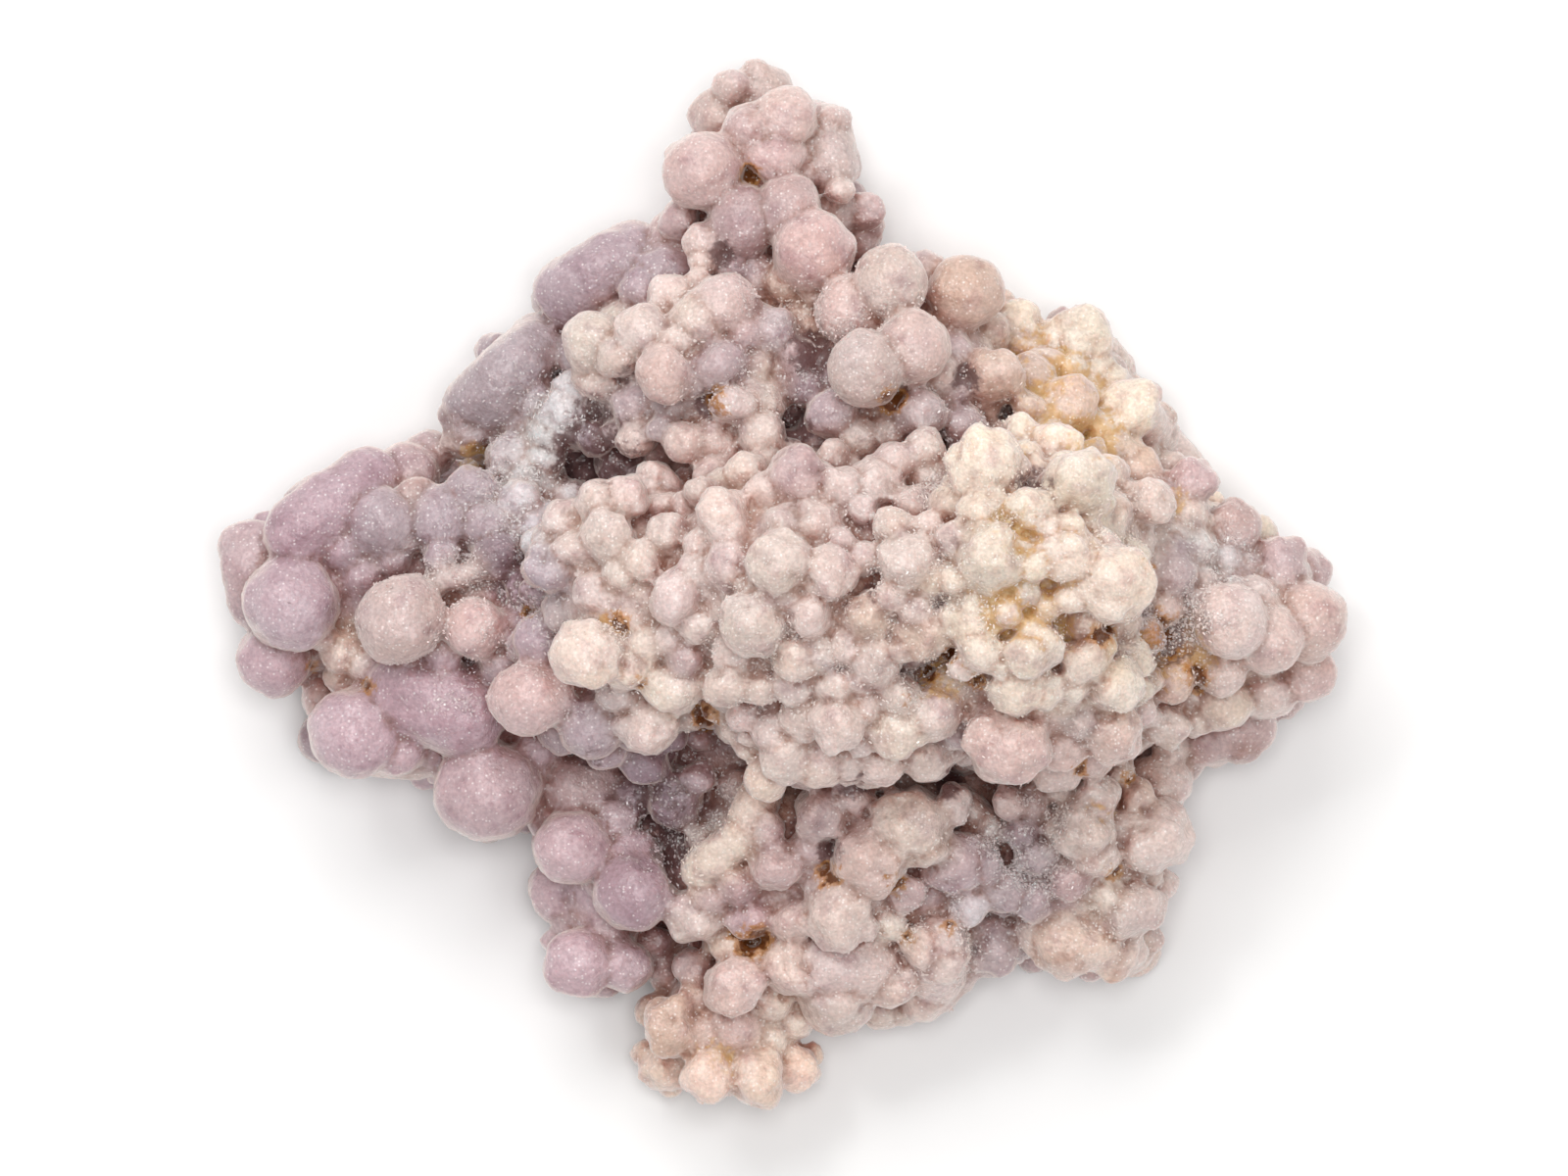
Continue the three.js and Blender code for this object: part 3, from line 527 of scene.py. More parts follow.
# A cube is cut up, rounded to a ball and then pushed in and out a little
def makeBallForm(name, form):
    deselectAll()
    bpy.ops.mesh.primitive_cube_add(size=2, location=(0, 0, 0))
    ball = bpy.context.object
    ball.name = name
    bpy.ops.object.mode_set(mode="EDIT")
    bpy.ops.mesh.select_all(action="SELECT")
    bpy.ops.mesh.subdivide(number_cuts=form["cuts"])
    bpy.ops.object.mode_set(mode="OBJECT")
    rounding = ball.modifiers.new("rounding", "CAST")
    rounding.factor = 1
    rounding.size = 1
    lumps = bpy.data.textures.new(name + "Lumps", "CLOUDS")
    lumps.noise_scale = form["grain"]
    lumps.noise_depth = 1
    pushing = ball.modifiers.new("pushing", "DISPLACE")
    pushing.texture = lumps
    pushing.strength = form["lump"] * 2
    applyModifiers(ball)
    mean = sum(vertex.co.length for vertex in ball.data.vertices) / len(ball.data.vertices)
    ball.data.transform(Matrix.Scale(1 / mean, 4))
    return ball


def placeBall(form, ball, dice):
    copy = bpy.data.objects.new("ball", form.data.copy())
    bpy.context.collection.objects.link(copy)
    tilt, spin = ball["turn"] if "turn" in ball else (dice.uniform(0, 6.28), dice.uniform(0, 6.28))
    turn = Matrix.Rotation(tilt, 4, "X") @ Matrix.Rotation(spin, 4, "Z")
    uneven = growth["stretch"][1 if isEven(ball) else 0]
    sides = [1 if "turn" in ball else 1 + dice.uniform(-uneven, uneven) for _ in range(3)]
    stretch = Matrix.Diagonal((*sides, 1))
    place = Matrix.Translation(Vector(ball["centre"]) * mm)
    radius = ball["radius"] * growth["ballShare"][ball["kind"]]
    copy.data.transform(place @ turn @ stretch @ Matrix.Scale(radius * mm, 4))
    return copy


def makeLobes():
    parts = []
    for centreX, centreY, centreZ, halfX, halfY, halfZ in lobes:
        deselectAll()
        bpy.ops.mesh.primitive_ico_sphere_add(subdivisions=4, radius=1, location=(0, 0, 0))
        lobe = bpy.context.object
        size = Matrix.Diagonal((halfX * mm, halfY * mm, halfZ * mm, 1))
        lobe.data.transform(Matrix.Translation(Vector((centreX, centreY, centreZ)) * mm) @ size)
        parts.append(lobe)
    return parts


def chooseForm(ball):
    if "turn" in ball:
        return "even"
    name = next(name for name, form in ballForms.items() if ball["radius"] <= form["upTo"])
    return "round" + name.capitalize() if ball["region"] in growth["roundRegions"] else name


# Lobes and balls grow into one skin
def growCluster(balls):
    dice = random.Random(growth["seed"] + 1)
    forms = {name: makeBallForm(name + "Ball", form) for name, form in ballForms.items()}
    parts = makeLobes()
    for ball in balls + addBuds(balls):
        parts.append(placeBall(forms[chooseForm(ball)], ball, dice))
    body = joinObjects(parts, "chalcedonyCluster")
    for form in forms.values():
        bpy.data.objects.remove(form)
    skin = body.modifiers.new("skin", "REMESH")
    skin.mode = "VOXEL"
    skin.voxel_size = growth["voxel"] * mm
    grain, height = growth["swell"]
    swelling = bpy.data.textures.new("swelling", "CLOUDS")
    swelling.noise_scale = grain * mm
    swelling.noise_depth = 2
    pushing = body.modifiers.new("pushing", "DISPLACE")
    pushing.texture = swelling
    pushing.strength = height * 2 * mm
    applyModifiers(body)
    return body


def combine(body, other, operation):
    joint = body.modifiers.new("joint", "BOOLEAN")
    joint.solver = "MANIFOLD"
    joint.operation = operation
    joint.object = other
    makeActive(body)
    bpy.ops.object.modifier_apply(modifier=joint.name)
    bpy.data.objects.remove(other)


# The break that the cluster rests on: rough by this much, with its high spots on the floor
breakFace = {"side": 150, "cuts": 110, "depth": 0.9, "grain": 9, "thickness": 60}


def cutBase(body):
    deselectAll()
    bpy.ops.mesh.primitive_grid_add(
        x_subdivisions=breakFace["cuts"], y_subdivisions=breakFace["cuts"],
        size=breakFace["side"] * mm, location=(0, 0, breakFace["depth"] * mm / 2),
    )
    ground = bpy.context.object
    bpy.ops.object.transform_apply(location=True, rotation=False, scale=False)
    chips = bpy.data.textures.new("breakChips", "CLOUDS")
    chips.noise_scale = breakFace["grain"] * mm
    chips.noise_depth = 3
    pushing = ground.modifiers.new("pushing", "DISPLACE")
    pushing.texture = chips
    pushing.direction = "Z"
    pushing.strength = breakFace["depth"] * mm
    slab = ground.modifiers.new("slab", "SOLIDIFY")
    slab.thickness = breakFace["thickness"] * mm
    slab.offset = -1
    applyModifiers(ground)
    combine(body, ground, "DIFFERENCE")


def countTriangles(thing):
    return sum(len(face.vertices) - 2 for face in thing.data.polygons)


# Bits that the cut left loose go, and the rest is thinned to the triangles that a piece may have
def dropLooseBits(body):
    makeActive(body)
    bpy.ops.object.mode_set(mode="EDIT")
    bpy.ops.mesh.select_all(action="SELECT")
    bpy.ops.mesh.remove_doubles(threshold=0.01 * mm)
    bpy.ops.object.mode_set(mode="OBJECT")
    bpy.ops.mesh.separate(type="LOOSE")
    bits = sorted(bpy.context.selected_objects, key=lambda bit: len(bit.data.polygons))
    body = bits.pop()
    for bit in bits:
        bpy.data.objects.remove(bit)
    body.name = "chalcedonyCluster"
    body.data.name = "chalcedonyCluster"
    thinning = body.modifiers.new("thinning", "DECIMATE")
    thinning.ratio = min(1, growth["mostTriangles"] / countTriangles(body))
    applyModifiers(body)
    makeActive(body)
    bpy.ops.object.shade_smooth_by_angle(angle=math.radians(38))
    return body


# The whole is moved onto the frame: over its origin, with its lowest point on the floor
def standOnFloor(things, body):
    shiftX, shiftY = growth["drawnCentre"]
    lowest = min(vertex.co.z for vertex in body.data.vertices)
    for thing in things:
        thing.data.transform(Matrix.Translation((-shiftX * mm, -shiftY * mm, -lowest)))


# Colours as they look in daylight, red, green and blue from 0 to 255
tones = {
    "violet": (175, 149, 157), "lilac": (192, 167, 171), "blush": (213, 194, 186), "cream": (228, 212, 196),
    "haze": (170, 154, 158), "mauve": (186, 160, 159), "wine": (165, 132, 135), "dusk": (122, 100, 112),
    "rose": (205, 179, 173), "tan": (202, 177, 159), "white": (213, 207, 208), "peach": (226, 201, 185),
    "ochre": (206, 170, 116),
}

# Stains in the creases: x, y, reach and strength, in mm, by kind. The darkShade kind is no stain but painted
# shade in the deepest pits and shadowed hollows
stains = {
    "rust": [
        (-3, 36.5, 1.2, 1), (-22.5, -2.3, 0.9, 0.8), (-14.3, -3, 1.3, 1), (-7, -11.5, 1.5, 1),
        (-12.7, -8.3, 0.9, 0.8), (33.8, -4.2, 2.6, 1), (36.3, -8, 1.6, 1), (28, -4.2, 1.5, 1),
        (14.6, -6, 1, 0.9), (12.8, -7.6, 1, 0.9), (17, -8.2, 1, 0.8), (10.7, -10, 0.9, 0.8),
        (-41.7, -7, 0.8, 0.6), (-36.5, -8.7, 1, 0.8), (-3, -31, 2.2, 1), (11, -31, 1, 0.8),
        (14.6, -30.2, 1, 0.8), (30.3, -16.8, 1, 0.7), (29, -25, 1.2, 0.8), (9.5, 16.5, 1.5, 1),
        (-5.5, 16.4, 1.6, 0.9), (4, -25.5, 1.6, 1), (9.5, -26, 1.5, 0.9), (26, -16, 1.2, 0.7),
        (31.8, 1.8, 1.2, 0.7),
    ],
    # ochre: real staining in the creases; its broad weak spots over the crest also paint the warm glow of
    # light through the creases
    "ochre": [
        (20, 5.5, 3.2, 0.7), (19.8, -2, 3.5, 0.8), (24.8, 19, 2.6, 0.9), (27.5, 13.3, 3.2, 0.9),
        (23.5, 17, 3, 0.6), (-27.5, 11.5, 1.6, 0.7), (20.5, 12.5, 2, 0.4), (23.5, -4, 2.6, 0.6),
        (34.5, 7.5, 2, 0.5), (-15, -3.2, 2, 0.5), (21, 1, 7, 0.5), (25, 17, 5, 0.6), (35, -6, 4, 0.6),
        (26, 4, 3, 0.4), (14, -8, 3, 0.5), (-6, -41.8, 2.4, 0.5), (22, 21, 3, 0.5), (28, -20, 2, 0.4),
    ],
    "darkShade": [
        (-5.5, 29.5, 1.6, 0.8), (-6.3, 16.2, 1.6, 0.9), (1.2, 14, 1.6, 0.9), (2.2, 20.5, 2.4, 0.9),
        (-14, 18.7, 1.2, 0.6), (16, 18.3, 1.6, 0.8), (-17, 12.5, 4.6, 0.8), (-23.5, 0.2, 2.2, 0.7),
        (-9.8, -23, 2, 1), (-16.8, -14.7, 1.6, 0.9), (4.1, -23.5, 1.5, 1), (9.5, -26, 1.4, 0.9),
        (6.1, -17.4, 1.6, 0.8), (14.5, -17.4, 1.6, 0.8), (21.5, -23, 2.2, 0.6), (22.2, 9, 2.2, 0.5),
        (7.8, -0.5, 1.2, 0.5), (-11, -19, 3, 0.7), (34, -4.8, 2.4, 1), (-3, -30.8, 1.2, 0.9),
    ],
}

# Where fine quartz grains coat the balls: x, y, reach and strength, in mm
druse = [
    (-30.2, -9.5, 3, 1), (-33.8, -2.8, 4, 0.7), (-27.5, 3, 6, 0.6), (-24, 9, 4, 0.7), (-21, 16, 5, 0.6),
    (12, 0, 7, 0.7), (9, -8, 6, 0.7), (-2, -6, 8, 0.5), (34, -3, 5, 0.9), (31, 4, 5, 0.7), (39, 1, 5, 0.8),
    (16, 8, 6, 0.6), (-4.5, 21.5, 6, 0.5), (4.5, 22, 6, 0.6), (21.5, -24, 5, 0.9), (14, -31, 7, 0.6),
    (26, -27, 6, 0.6), (-8, -21, 5, 0.6), (-16, -7, 6, 0.5), (22, -8, 7, 0.5), (8.5, 26.5, 3.5, 0.6),
    (17, 14, 5, 0.5), (-24, -3, 5, 0.6), (30, -12, 5, 0.5),
]

# How the marks are spread: sizes in mm
painting = {
    "creaseWidth": 0.4,               # how wide the crease between two balls counts as one,
    "crease": (0.0, 0.14),            # how deep a crease must be to show, and to show fully
    "blend": 0.55,                    # over how far one ball's tone runs into the next
    "own": 0.8,                       # how much of its own tone a ball keeps beside its region's
    # sunkShade: painted shade, greying the balls that lie lower than those around them
    "sunkShade": 0.6,                 # how much greyer the balls are that lie lower than those around them,
    "sunkReach": 7,                   # over this distance
    "toneVary": 0.045,                # how much one ball is lighter or darker than its neighbours
    "hueVary": 0.015,
    "spotSize": {"rust": 0.75, "ochre": 0.8, "darkShade": 0.8},
    "patch": 2.4,                     # how large the patches are in which the quartz coat comes and goes
    "rays": 12,                       # how many ways each point looks out, to find the hollows
    "reach": 11,
    "seed": 5,
}


def toLinear(colour):
    return Vector([(part / 255) ** 2.2 for part in colour])


def spotAt(x, y, spots, size):
    amount = 0
    for spotX, spotY, reach, strength in spots:
        far = math.hypot(x - spotX, y - spotY) / (reach * size)
        if far < 1.6:
            amount = max(amount, strength * min(1, 1.6 - far))
    return amount


# Ways to look out from a point, spread evenly over the half sphere above it
def lookDirections(count):
    ways = []
    for index in range(count):
        height = math.sqrt((index + 0.5) / count)
        turn = index * 2.39996
        flat = math.sqrt(1 - height * height)
        ways.append(Vector((flat * math.cos(turn), flat * math.sin(turn), height)))
    return ways


def addMarks(mesh, name, kind, values):
    layer = mesh.attributes.new(name, kind, "POINT")
    layer.data.foreach_set("color" if kind == "FLOAT_COLOR" else "value", values)


# How far each point lies in a crease: how much the points beside it stand above it. The creases get painted
# shade
def findCreases(mesh):
    counts = [0] * len(mesh.vertices)
    rises = [0.0] * len(mesh.vertices)
    for edge in mesh.edges:
        first, second = (mesh.vertices[index] for index in edge.vertices)
        way = (second.co - first.co).normalized()
        rises[first.index] += way.dot(first.normal)
        rises[second.index] -= way.dot(second.normal)
        counts[first.index] += 1
        counts[second.index] += 1
    rises = [rise / max(1, count) for rise, count in zip(rises, counts)]
    spread = list(rises)
    for edge in mesh.edges:
        first, second = edge.vertices
        spread[first] += rises[second]
        spread[second] += rises[first]
    low, high = painting["crease"]
    return [
        min(1, max(0, (rise / (1 + count) - low) / (high - low))) for rise, count in zip(spread, counts)
    ]


# Each ball gets its own tone, greyer where it lies low, as painted shade for the balls sunk among their
# neighbours. The balls of one rod share theirs
def colourBalls(balls, near, dice):
    regionTones = {region: tone for region, (tone, rows) in mainBalls.items()}
    rodColours = {}
    for ball in balls:
        x, y, z = ball["centre"]
        beside = [balls[index] for _, index, _ in near.find_range((x, y, z), painting["sunkReach"])]
        tops = [other["centre"][2] + other["radius"] for other in beside]
        sunk = min(1, max(0, (sum(tops) / len(tops) - z - ball["radius"] + 0.3) / 2.5))
        light = 1 + dice.gauss(0, painting["toneVary"])
        tint = [1 + dice.gauss(0, painting["hueVary"]) for _ in range(3)]
        base = toLinear(tones[regionTones[ball["region"]]])
        base = base.lerp(toLinear(tones[ball["tone"]]), painting["own"])
        base = base.lerp(toLinear(tones["haze"]), painting["sunkShade"] * sunk)
        ball["colour"] = Vector([part * light * shade for part, shade in zip(base, tint)])
        if "body" in ball:
            ball["colour"] = rodColours.setdefault(ball["body"], ball["colour"])


# How much of the way out is blocked from a point. It sets the painted shade in the hollows, and more quartz
# coat there
def findHollow(point, normal, ways, solid, dice):
    turn = normal.to_track_quat("Z", "Y") @ Matrix.Rotation(dice.uniform(0, 6.28), 3, "Z").to_quaternion()
    start = point + normal * 0.15
    blocked = sum(solid.ray_cast(start, turn @ way, painting["reach"])[0] is not None for way in ways)
    return blocked / len(ways)


# Each point takes the tone of the balls beside it, and marks for creases, hollows, stains and the break. The
# crease and hollow marks carry painted shade
def paintCluster(cluster, balls):
    mesh = cluster.data
    dice = random.Random(painting["seed"])
    near = KDTree(len(balls))
    for index, ball in enumerate(balls):
        near.insert(ball["centre"], index)
    near.balance()
    colourBalls(balls, near, dice)
    points = [vertex.co / mm for vertex in mesh.vertices]
    solid = BVHTree.FromPolygons(points, [face.vertices[:] for face in mesh.polygons])
    ways = lookDirections(painting["rays"])
    creases = findCreases(mesh)
    toneValues, markValues, stainValues, druseValues = [], [], [], []
    for vertex, point in zip(mesh.vertices, points):
        normal = vertex.normal
        gaps = sorted(
            ((point - spot).length - balls[index]["radius"], index)
            for spot, index, _ in near.find_n(point, 12)
        )
        closest, first = gaps[0]
        body = balls[first].get("body")
        other = next((gap for gap, index in gaps[1:] if body is None or balls[index].get("body") != body), 9)
        crease = max(creases[vertex.index], 0.8 * max(0, 1 - (other - closest) / painting["creaseWidth"]))
        colour = Vector((0, 0, 0))
        total = 0
        for gap, index in gaps[:5]:
            weight = math.exp(-(gap - closest) / painting["blend"])
            colour += balls[index]["colour"] * weight
            total += weight
        hollow = findHollow(point, normal, ways, solid, dice)
        broken = 1 if normal.z < -0.5 and point.z < breakFace["depth"] * 1.6 else 0
        lookUp = 1 if normal.z > -0.2 else 0
        # Stains are stronger in the creases and hollows; for darkShade this deepens the painted shade there
        shelter = min(1, 0.3 + 0.6 * crease + 0.9 * hollow)
        toneValues += [*(colour / total), 1]
        markValues += [crease, hollow, broken, 1]
        for kind, size in painting["spotSize"].items():
            stainValues.append(lookUp * spotAt(point.x, point.y, stains[kind], size) * shelter)
        stainValues.append(1)
        patchy = min(1, max(0, 0.55 + 1.5 * noise.noise(point / painting["patch"])))
        coated = lookUp * patchy * spotAt(point.x, point.y, druse, 1)
        druseValues.append(coated * min(1, 0.35 + 1.3 * hollow))
    addMarks(mesh, "tone", "FLOAT_COLOR", toneValues)
    addMarks(mesh, "marks", "FLOAT_COLOR", markValues)
    addMarks(mesh, "stains", "FLOAT_COLOR", stainValues)
    addMarks(mesh, "druse", "FLOAT", druseValues)


# The shader's patterns: repeats to a metre, detail, the range in which each shows, and its strength
patterns = {
    "cloud": {"scale": 200, "detail": 2, "range": (0.35, 0.7), "share": 0.18},
    "mottle": {"scale": 420, "detail": 3, "range": (0.5, 0.72), "share": 0.6},
    "speck": {"scale": 3000, "detail": 2, "range": (0.3, 0.72), "share": 0.2},
    "frost": {"scale": 1500, "detail": 3, "range": (0.54, 0.66), "share": 0.75},
    "edge": {"scale": 1700, "detail": 3},
    "patch": {"scale": 420, "detail": 2},
    "lump": {"scale": 1100, "detail": 2},
    "grain": {"scale": 5200, "detail": 1},
    "cell": {"scale": 3300},
}

# Colours that the shader lays over the balls' own tones. Crease, hollow and darkShade are painted shade,
# rimLight is painted light on the balls' edges, and ochre is staining that partly paints warm light in the
# creases
paints = {
    "cloud": (226, 216, 222), "mottle": (214, 198, 204), "crease": (190, 150, 132), "hollow": (204, 156, 142),
    "ochre": (208, 164, 96), "darkShade": (98, 70, 70), "rust": (186, 128, 62), "rustCore": (104, 58, 26),
    "quartz": (232, 224, 220), "quartzEdge": (156, 140, 141), "frost": (240, 234, 232),
    "break": (196, 184, 188), "breakStain": (168, 132, 108), "rimLight": (234, 218, 212),
}

# Stains and painted shade, one over the other: paint, which mark it follows, the range in which it shows, and
# its strength. The darkShade layer is painted shade
stainLayers = [
    ("ochre", "ochre", (0.72, 1.15), 0.65), ("darkShade", "darkShade", (0.72, 1.1), 0.8),
    ("rust", "rust", (0.72, 1.0), 0.7), ("rustCore", "rust", (0.98, 1.25), 0.95),
]

# How the stone takes light. Lengths are in mm
stone = {
    "creaseShade": 0.75, "creaseEdge": (0.2, 0.55), "hollowShade": 0.75, "hollowRange": (0.35, 1.0),
    "grit": 0.45,                     # how much the quartz coat covers the stone's colour,
    "coatRange": (0.8, 1.25),         # where it starts and where it is full
    "fleckAndGlint": (0.76, 0.82, 0.42),      # which grains are painted white, as white quartz and as painted glints, and how strongly away from the coat
    "leanRange": (0.62, 1.05),
    "lean": (0.5, 0.16),              # how far grains lean, more in the coat and the rest everywhere
    "roughness": 0.27, "gloss": 0.22, "lumpHeight": 1.6, "grainHeight": 0.35,
    # rimLight: painted light on the balls' edges
    "rimLightRange": (0.42, 0.92), "rimLight": 0.9,
    "bump": 0.75, "bumpDepth": 0.25, "subsurface": 0.85, "subsurfaceTint": (1.0, 0.72, 0.7),
    "subsurfaceDepth": 2.0, "refraction": 1.5,
}


# A group with the named inputs and outputs, each with its kind of socket
def newGroup(name, inputs, outputs):
    tree = bpy.data.node_groups.new(name, "ShaderNodeTree")
    for way, sockets in (("INPUT", inputs), ("OUTPUT", outputs)):
        for label, kind in sockets.items():
            tree.interface.new_socket(label, in_out=way, socket_type="NodeSocket" + kind)
    return tree, addNode(tree, "NodeGroupInput"), addNode(tree, "NodeGroupOutput")


# Nodes are laid out in rows, in the order in which they are made
def addNode(tree, kind, **settings):
    node = tree.nodes.new(kind)
    row, column = divmod(len(tree.nodes), 8)
    node.location = (220 * column, -300 * row)
    for key, value in settings.items():
        setattr(node, key, value)
    return node


# A value is set on the socket and an output is linked to it
def feed(tree, source, socket):
    if isinstance(source, bpy.types.NodeSocket):
        tree.links.new(source, socket)
    else:
        socket.default_value = source


def mixColours(tree, factor, first, second, way="MIX"):
    node = addNode(tree, "ShaderNodeMix", data_type="RGBA", blend_type=way)
    for index, source in ((0, factor), (6, first), (7, second)):
        feed(tree, source, node.inputs[index])
    return node.outputs[2]


def doMath(tree, operation, *sources):
    node = addNode(tree, "ShaderNodeMath", operation=operation)
    for source, socket in zip(sources, node.inputs):
        feed(tree, source, socket)
    return node.outputs[0]


def ramp(tree, source, low, high):
    node = addNode(tree, "ShaderNodeMapRange", interpolation_type="SMOOTHSTEP")
    feed(tree, source, node.inputs["Value"])
    node.inputs["From Min"].default_value = low
    node.inputs["From Max"].default_value = high
    return node.outputs["Result"]


def addNoise(tree, where, name):
    node = addNode(tree, "ShaderNodeTexNoise")
    feed(tree, where, node.inputs["Vector"])
    node.inputs["Scale"].default_value = patterns[name]["scale"]
    node.inputs["Detail"].default_value = patterns[name]["detail"]
    return node.outputs["Fac"]


# Where a pattern shows, from 0 to 1
def addPattern(tree, where, name):
    return ramp(tree, addNoise(tree, where, name), *patterns[name]["range"])


def addCells(tree, where):
    node = addNode(tree, "ShaderNodeTexVoronoi")
    feed(tree, where, node.inputs["Vector"])
    node.inputs["Scale"].default_value = patterns["cell"]["scale"]
    return node


def splitColour(tree, source):
    node = addNode(tree, "ShaderNodeSeparateColor")
    feed(tree, source, node.inputs[0])
    return node.outputs[:3]


def addVector(tree, operation, *sources):
    node = addNode(tree, "ShaderNodeVectorMath", operation=operation)
    for name, source in zip(("Vector", "Scale") if operation == "SCALE" else (0, 1), sources):
        feed(tree, source, node.inputs[name])
    return node.outputs[0]


def linearColour(colour):
    return (*toLinear(colour), 1)


def makeColourGroup():
    tree, start, end = newGroup(
        "stoneColour",
        {"Place": "Vector", "Tone": "Color", "Marks": "Color", "Stains": "Color", "Druse": "Float"},
        {"Color": "Color"},
    )
    where = start.outputs["Place"]
    paint = {name: linearColour(colour) for name, colour in paints.items()}
    crease, hollow, broken = splitColour(tree, start.outputs["Marks"])
    spots = dict(zip(("rust", "ochre", "darkShade"), splitColour(tree, start.outputs["Stains"])))
    edge = addNoise(tree, where, "edge")
    cloud = doMath(tree, "MULTIPLY", addPattern(tree, where, "cloud"), patterns["cloud"]["share"])
    colour = mixColours(tree, cloud, start.outputs["Tone"], paint["cloud"])
    mottle = doMath(tree, "MULTIPLY", addPattern(tree, where, "mottle"), patterns["mottle"]["share"])
    colour = mixColours(tree, mottle, colour, paint["mottle"], "MULTIPLY")
    share = patterns["speck"]["share"]
    shade = doMath(tree, "MULTIPLY_ADD", addPattern(tree, where, "speck"), share, 1 - share / 2)
    grey = addNode(tree, "ShaderNodeCombineColor")
    for socket in grey.inputs:
        feed(tree, shade, socket)
    colour = mixColours(tree, 1.0, colour, grey.outputs[0], "MULTIPLY")

    # Painted shade: the creases between the balls are darkened with warm brown
    crease = doMath(tree, "MULTIPLY", crease, ramp(tree, edge, *stone["creaseEdge"]))
    crease = doMath(tree, "MULTIPLY", crease, stone["creaseShade"])
    colour = mixColours(tree, crease, colour, paint["crease"], "MULTIPLY")
    # Painted shade: the hollows, where the way out is blocked, are darkened with warm brown
    hollow = doMath(tree, "MULTIPLY", ramp(tree, hollow, *stone["hollowRange"]), stone["hollowShade"])
    colour = mixColours(tree, hollow, colour, paint["hollow"], "MULTIPLY")
    # Stains laid on in turn; the darkShade layer is painted shade, and the ochre layer partly paints warm
    # light in the creases
    for name, mark, shown, share in stainLayers:
        mask = ramp(tree, doMath(tree, "ADD", spots[mark], edge), *shown)
        colour = mixColours(tree, doMath(tree, "MULTIPLY", mask, share), colour, paint[name])

    cells = addCells(tree, where)
    coat = ramp(tree, doMath(tree, "ADD", start.outputs["Druse"], edge), *stone["coatRange"])
    grit = mixColours(
        tree, ramp(tree, cells.outputs["Distance"], 0.15, 0.75), paint["quartz"], paint["quartzEdge"],
    )
    colour = mixColours(tree, doMath(tree, "MULTIPLY", coat, stone["grit"]), colour, grit)
    streaks = addNoise(tree, where, "frost")
    streaks.node.inputs["Distortion"].default_value = 2.5
    streaks = doMath(tree, "MULTIPLY", ramp(tree, streaks, *patterns["frost"]["range"]), coat)
    streaks = doMath(tree, "MULTIPLY", streaks, patterns["frost"]["share"])
    colour = mixColours(tree, streaks, colour, paint["frost"])
    # White grains: partly white quartz, partly painted glints of the grain facets
    low, high, bare = stone["fleckAndGlint"]
    fleckAndGlint = ramp(tree, splitColour(tree, cells.outputs["Color"])[0], low, high)
    fleckAndGlint = doMath(tree, "MULTIPLY", fleckAndGlint, doMath(tree, "MAXIMUM", coat, bare))
    fleckAndGlint = doMath(tree, "MULTIPLY", fleckAndGlint, ramp(tree, cells.outputs["Distance"], 0.45, 0.2))
    colour = mixColours(tree, fleckAndGlint, colour, (1, 0.98, 0.97, 1))
    rough = mixColours(tree, ramp(tree, edge, 0.42, 0.7), paint["break"], paint["breakStain"])
    feed(tree, mixColours(tree, broken, colour, rough), end.inputs["Color"])
    return tree


# Small facets that lean this way and that, glossier in the quartz coat
def makeGrainGroup():
    tree, start, end = newGroup(
        "stoneGrain", {"Place": "Vector", "Druse": "Float", "Normal": "Vector"},
        {"Height": "Float", "Roughness": "Float", "Normal": "Vector"},
    )
    where = start.outputs["Place"]
    coat = doMath(tree, "ADD", start.outputs["Druse"], addNoise(tree, where, "patch"))
    coat = ramp(tree, coat, *stone["leanRange"])
    cells = addCells(tree, where)
    tilt = addVector(tree, "SUBTRACT", cells.outputs["Color"], (0.5, 0.5, 0.5))
    lean = addVector(tree, "SCALE", tilt, doMath(tree, "MULTIPLY_ADD", coat, *stone["lean"]))
    unit = addVector(tree, "NORMALIZE", addVector(tree, "ADD", start.outputs["Normal"], lean))
    feed(tree, unit, end.inputs["Normal"])
    gloss = ramp(tree, splitColour(tree, cells.outputs["Color"])[0], 0.45, 0.95)
    gloss = doMath(tree, "MULTIPLY", coat, gloss)
    rough = doMath(tree, "MULTIPLY_ADD", gloss, -stone["gloss"], stone["roughness"])
    feed(tree, rough, end.inputs["Roughness"])
    grain = doMath(tree, "MULTIPLY", addNoise(tree, where, "grain"), stone["grainHeight"])
    height = doMath(tree, "MULTIPLY_ADD", addNoise(tree, where, "lump"), stone["lumpHeight"], grain)
    feed(tree, height, end.inputs["Height"])
    return tree


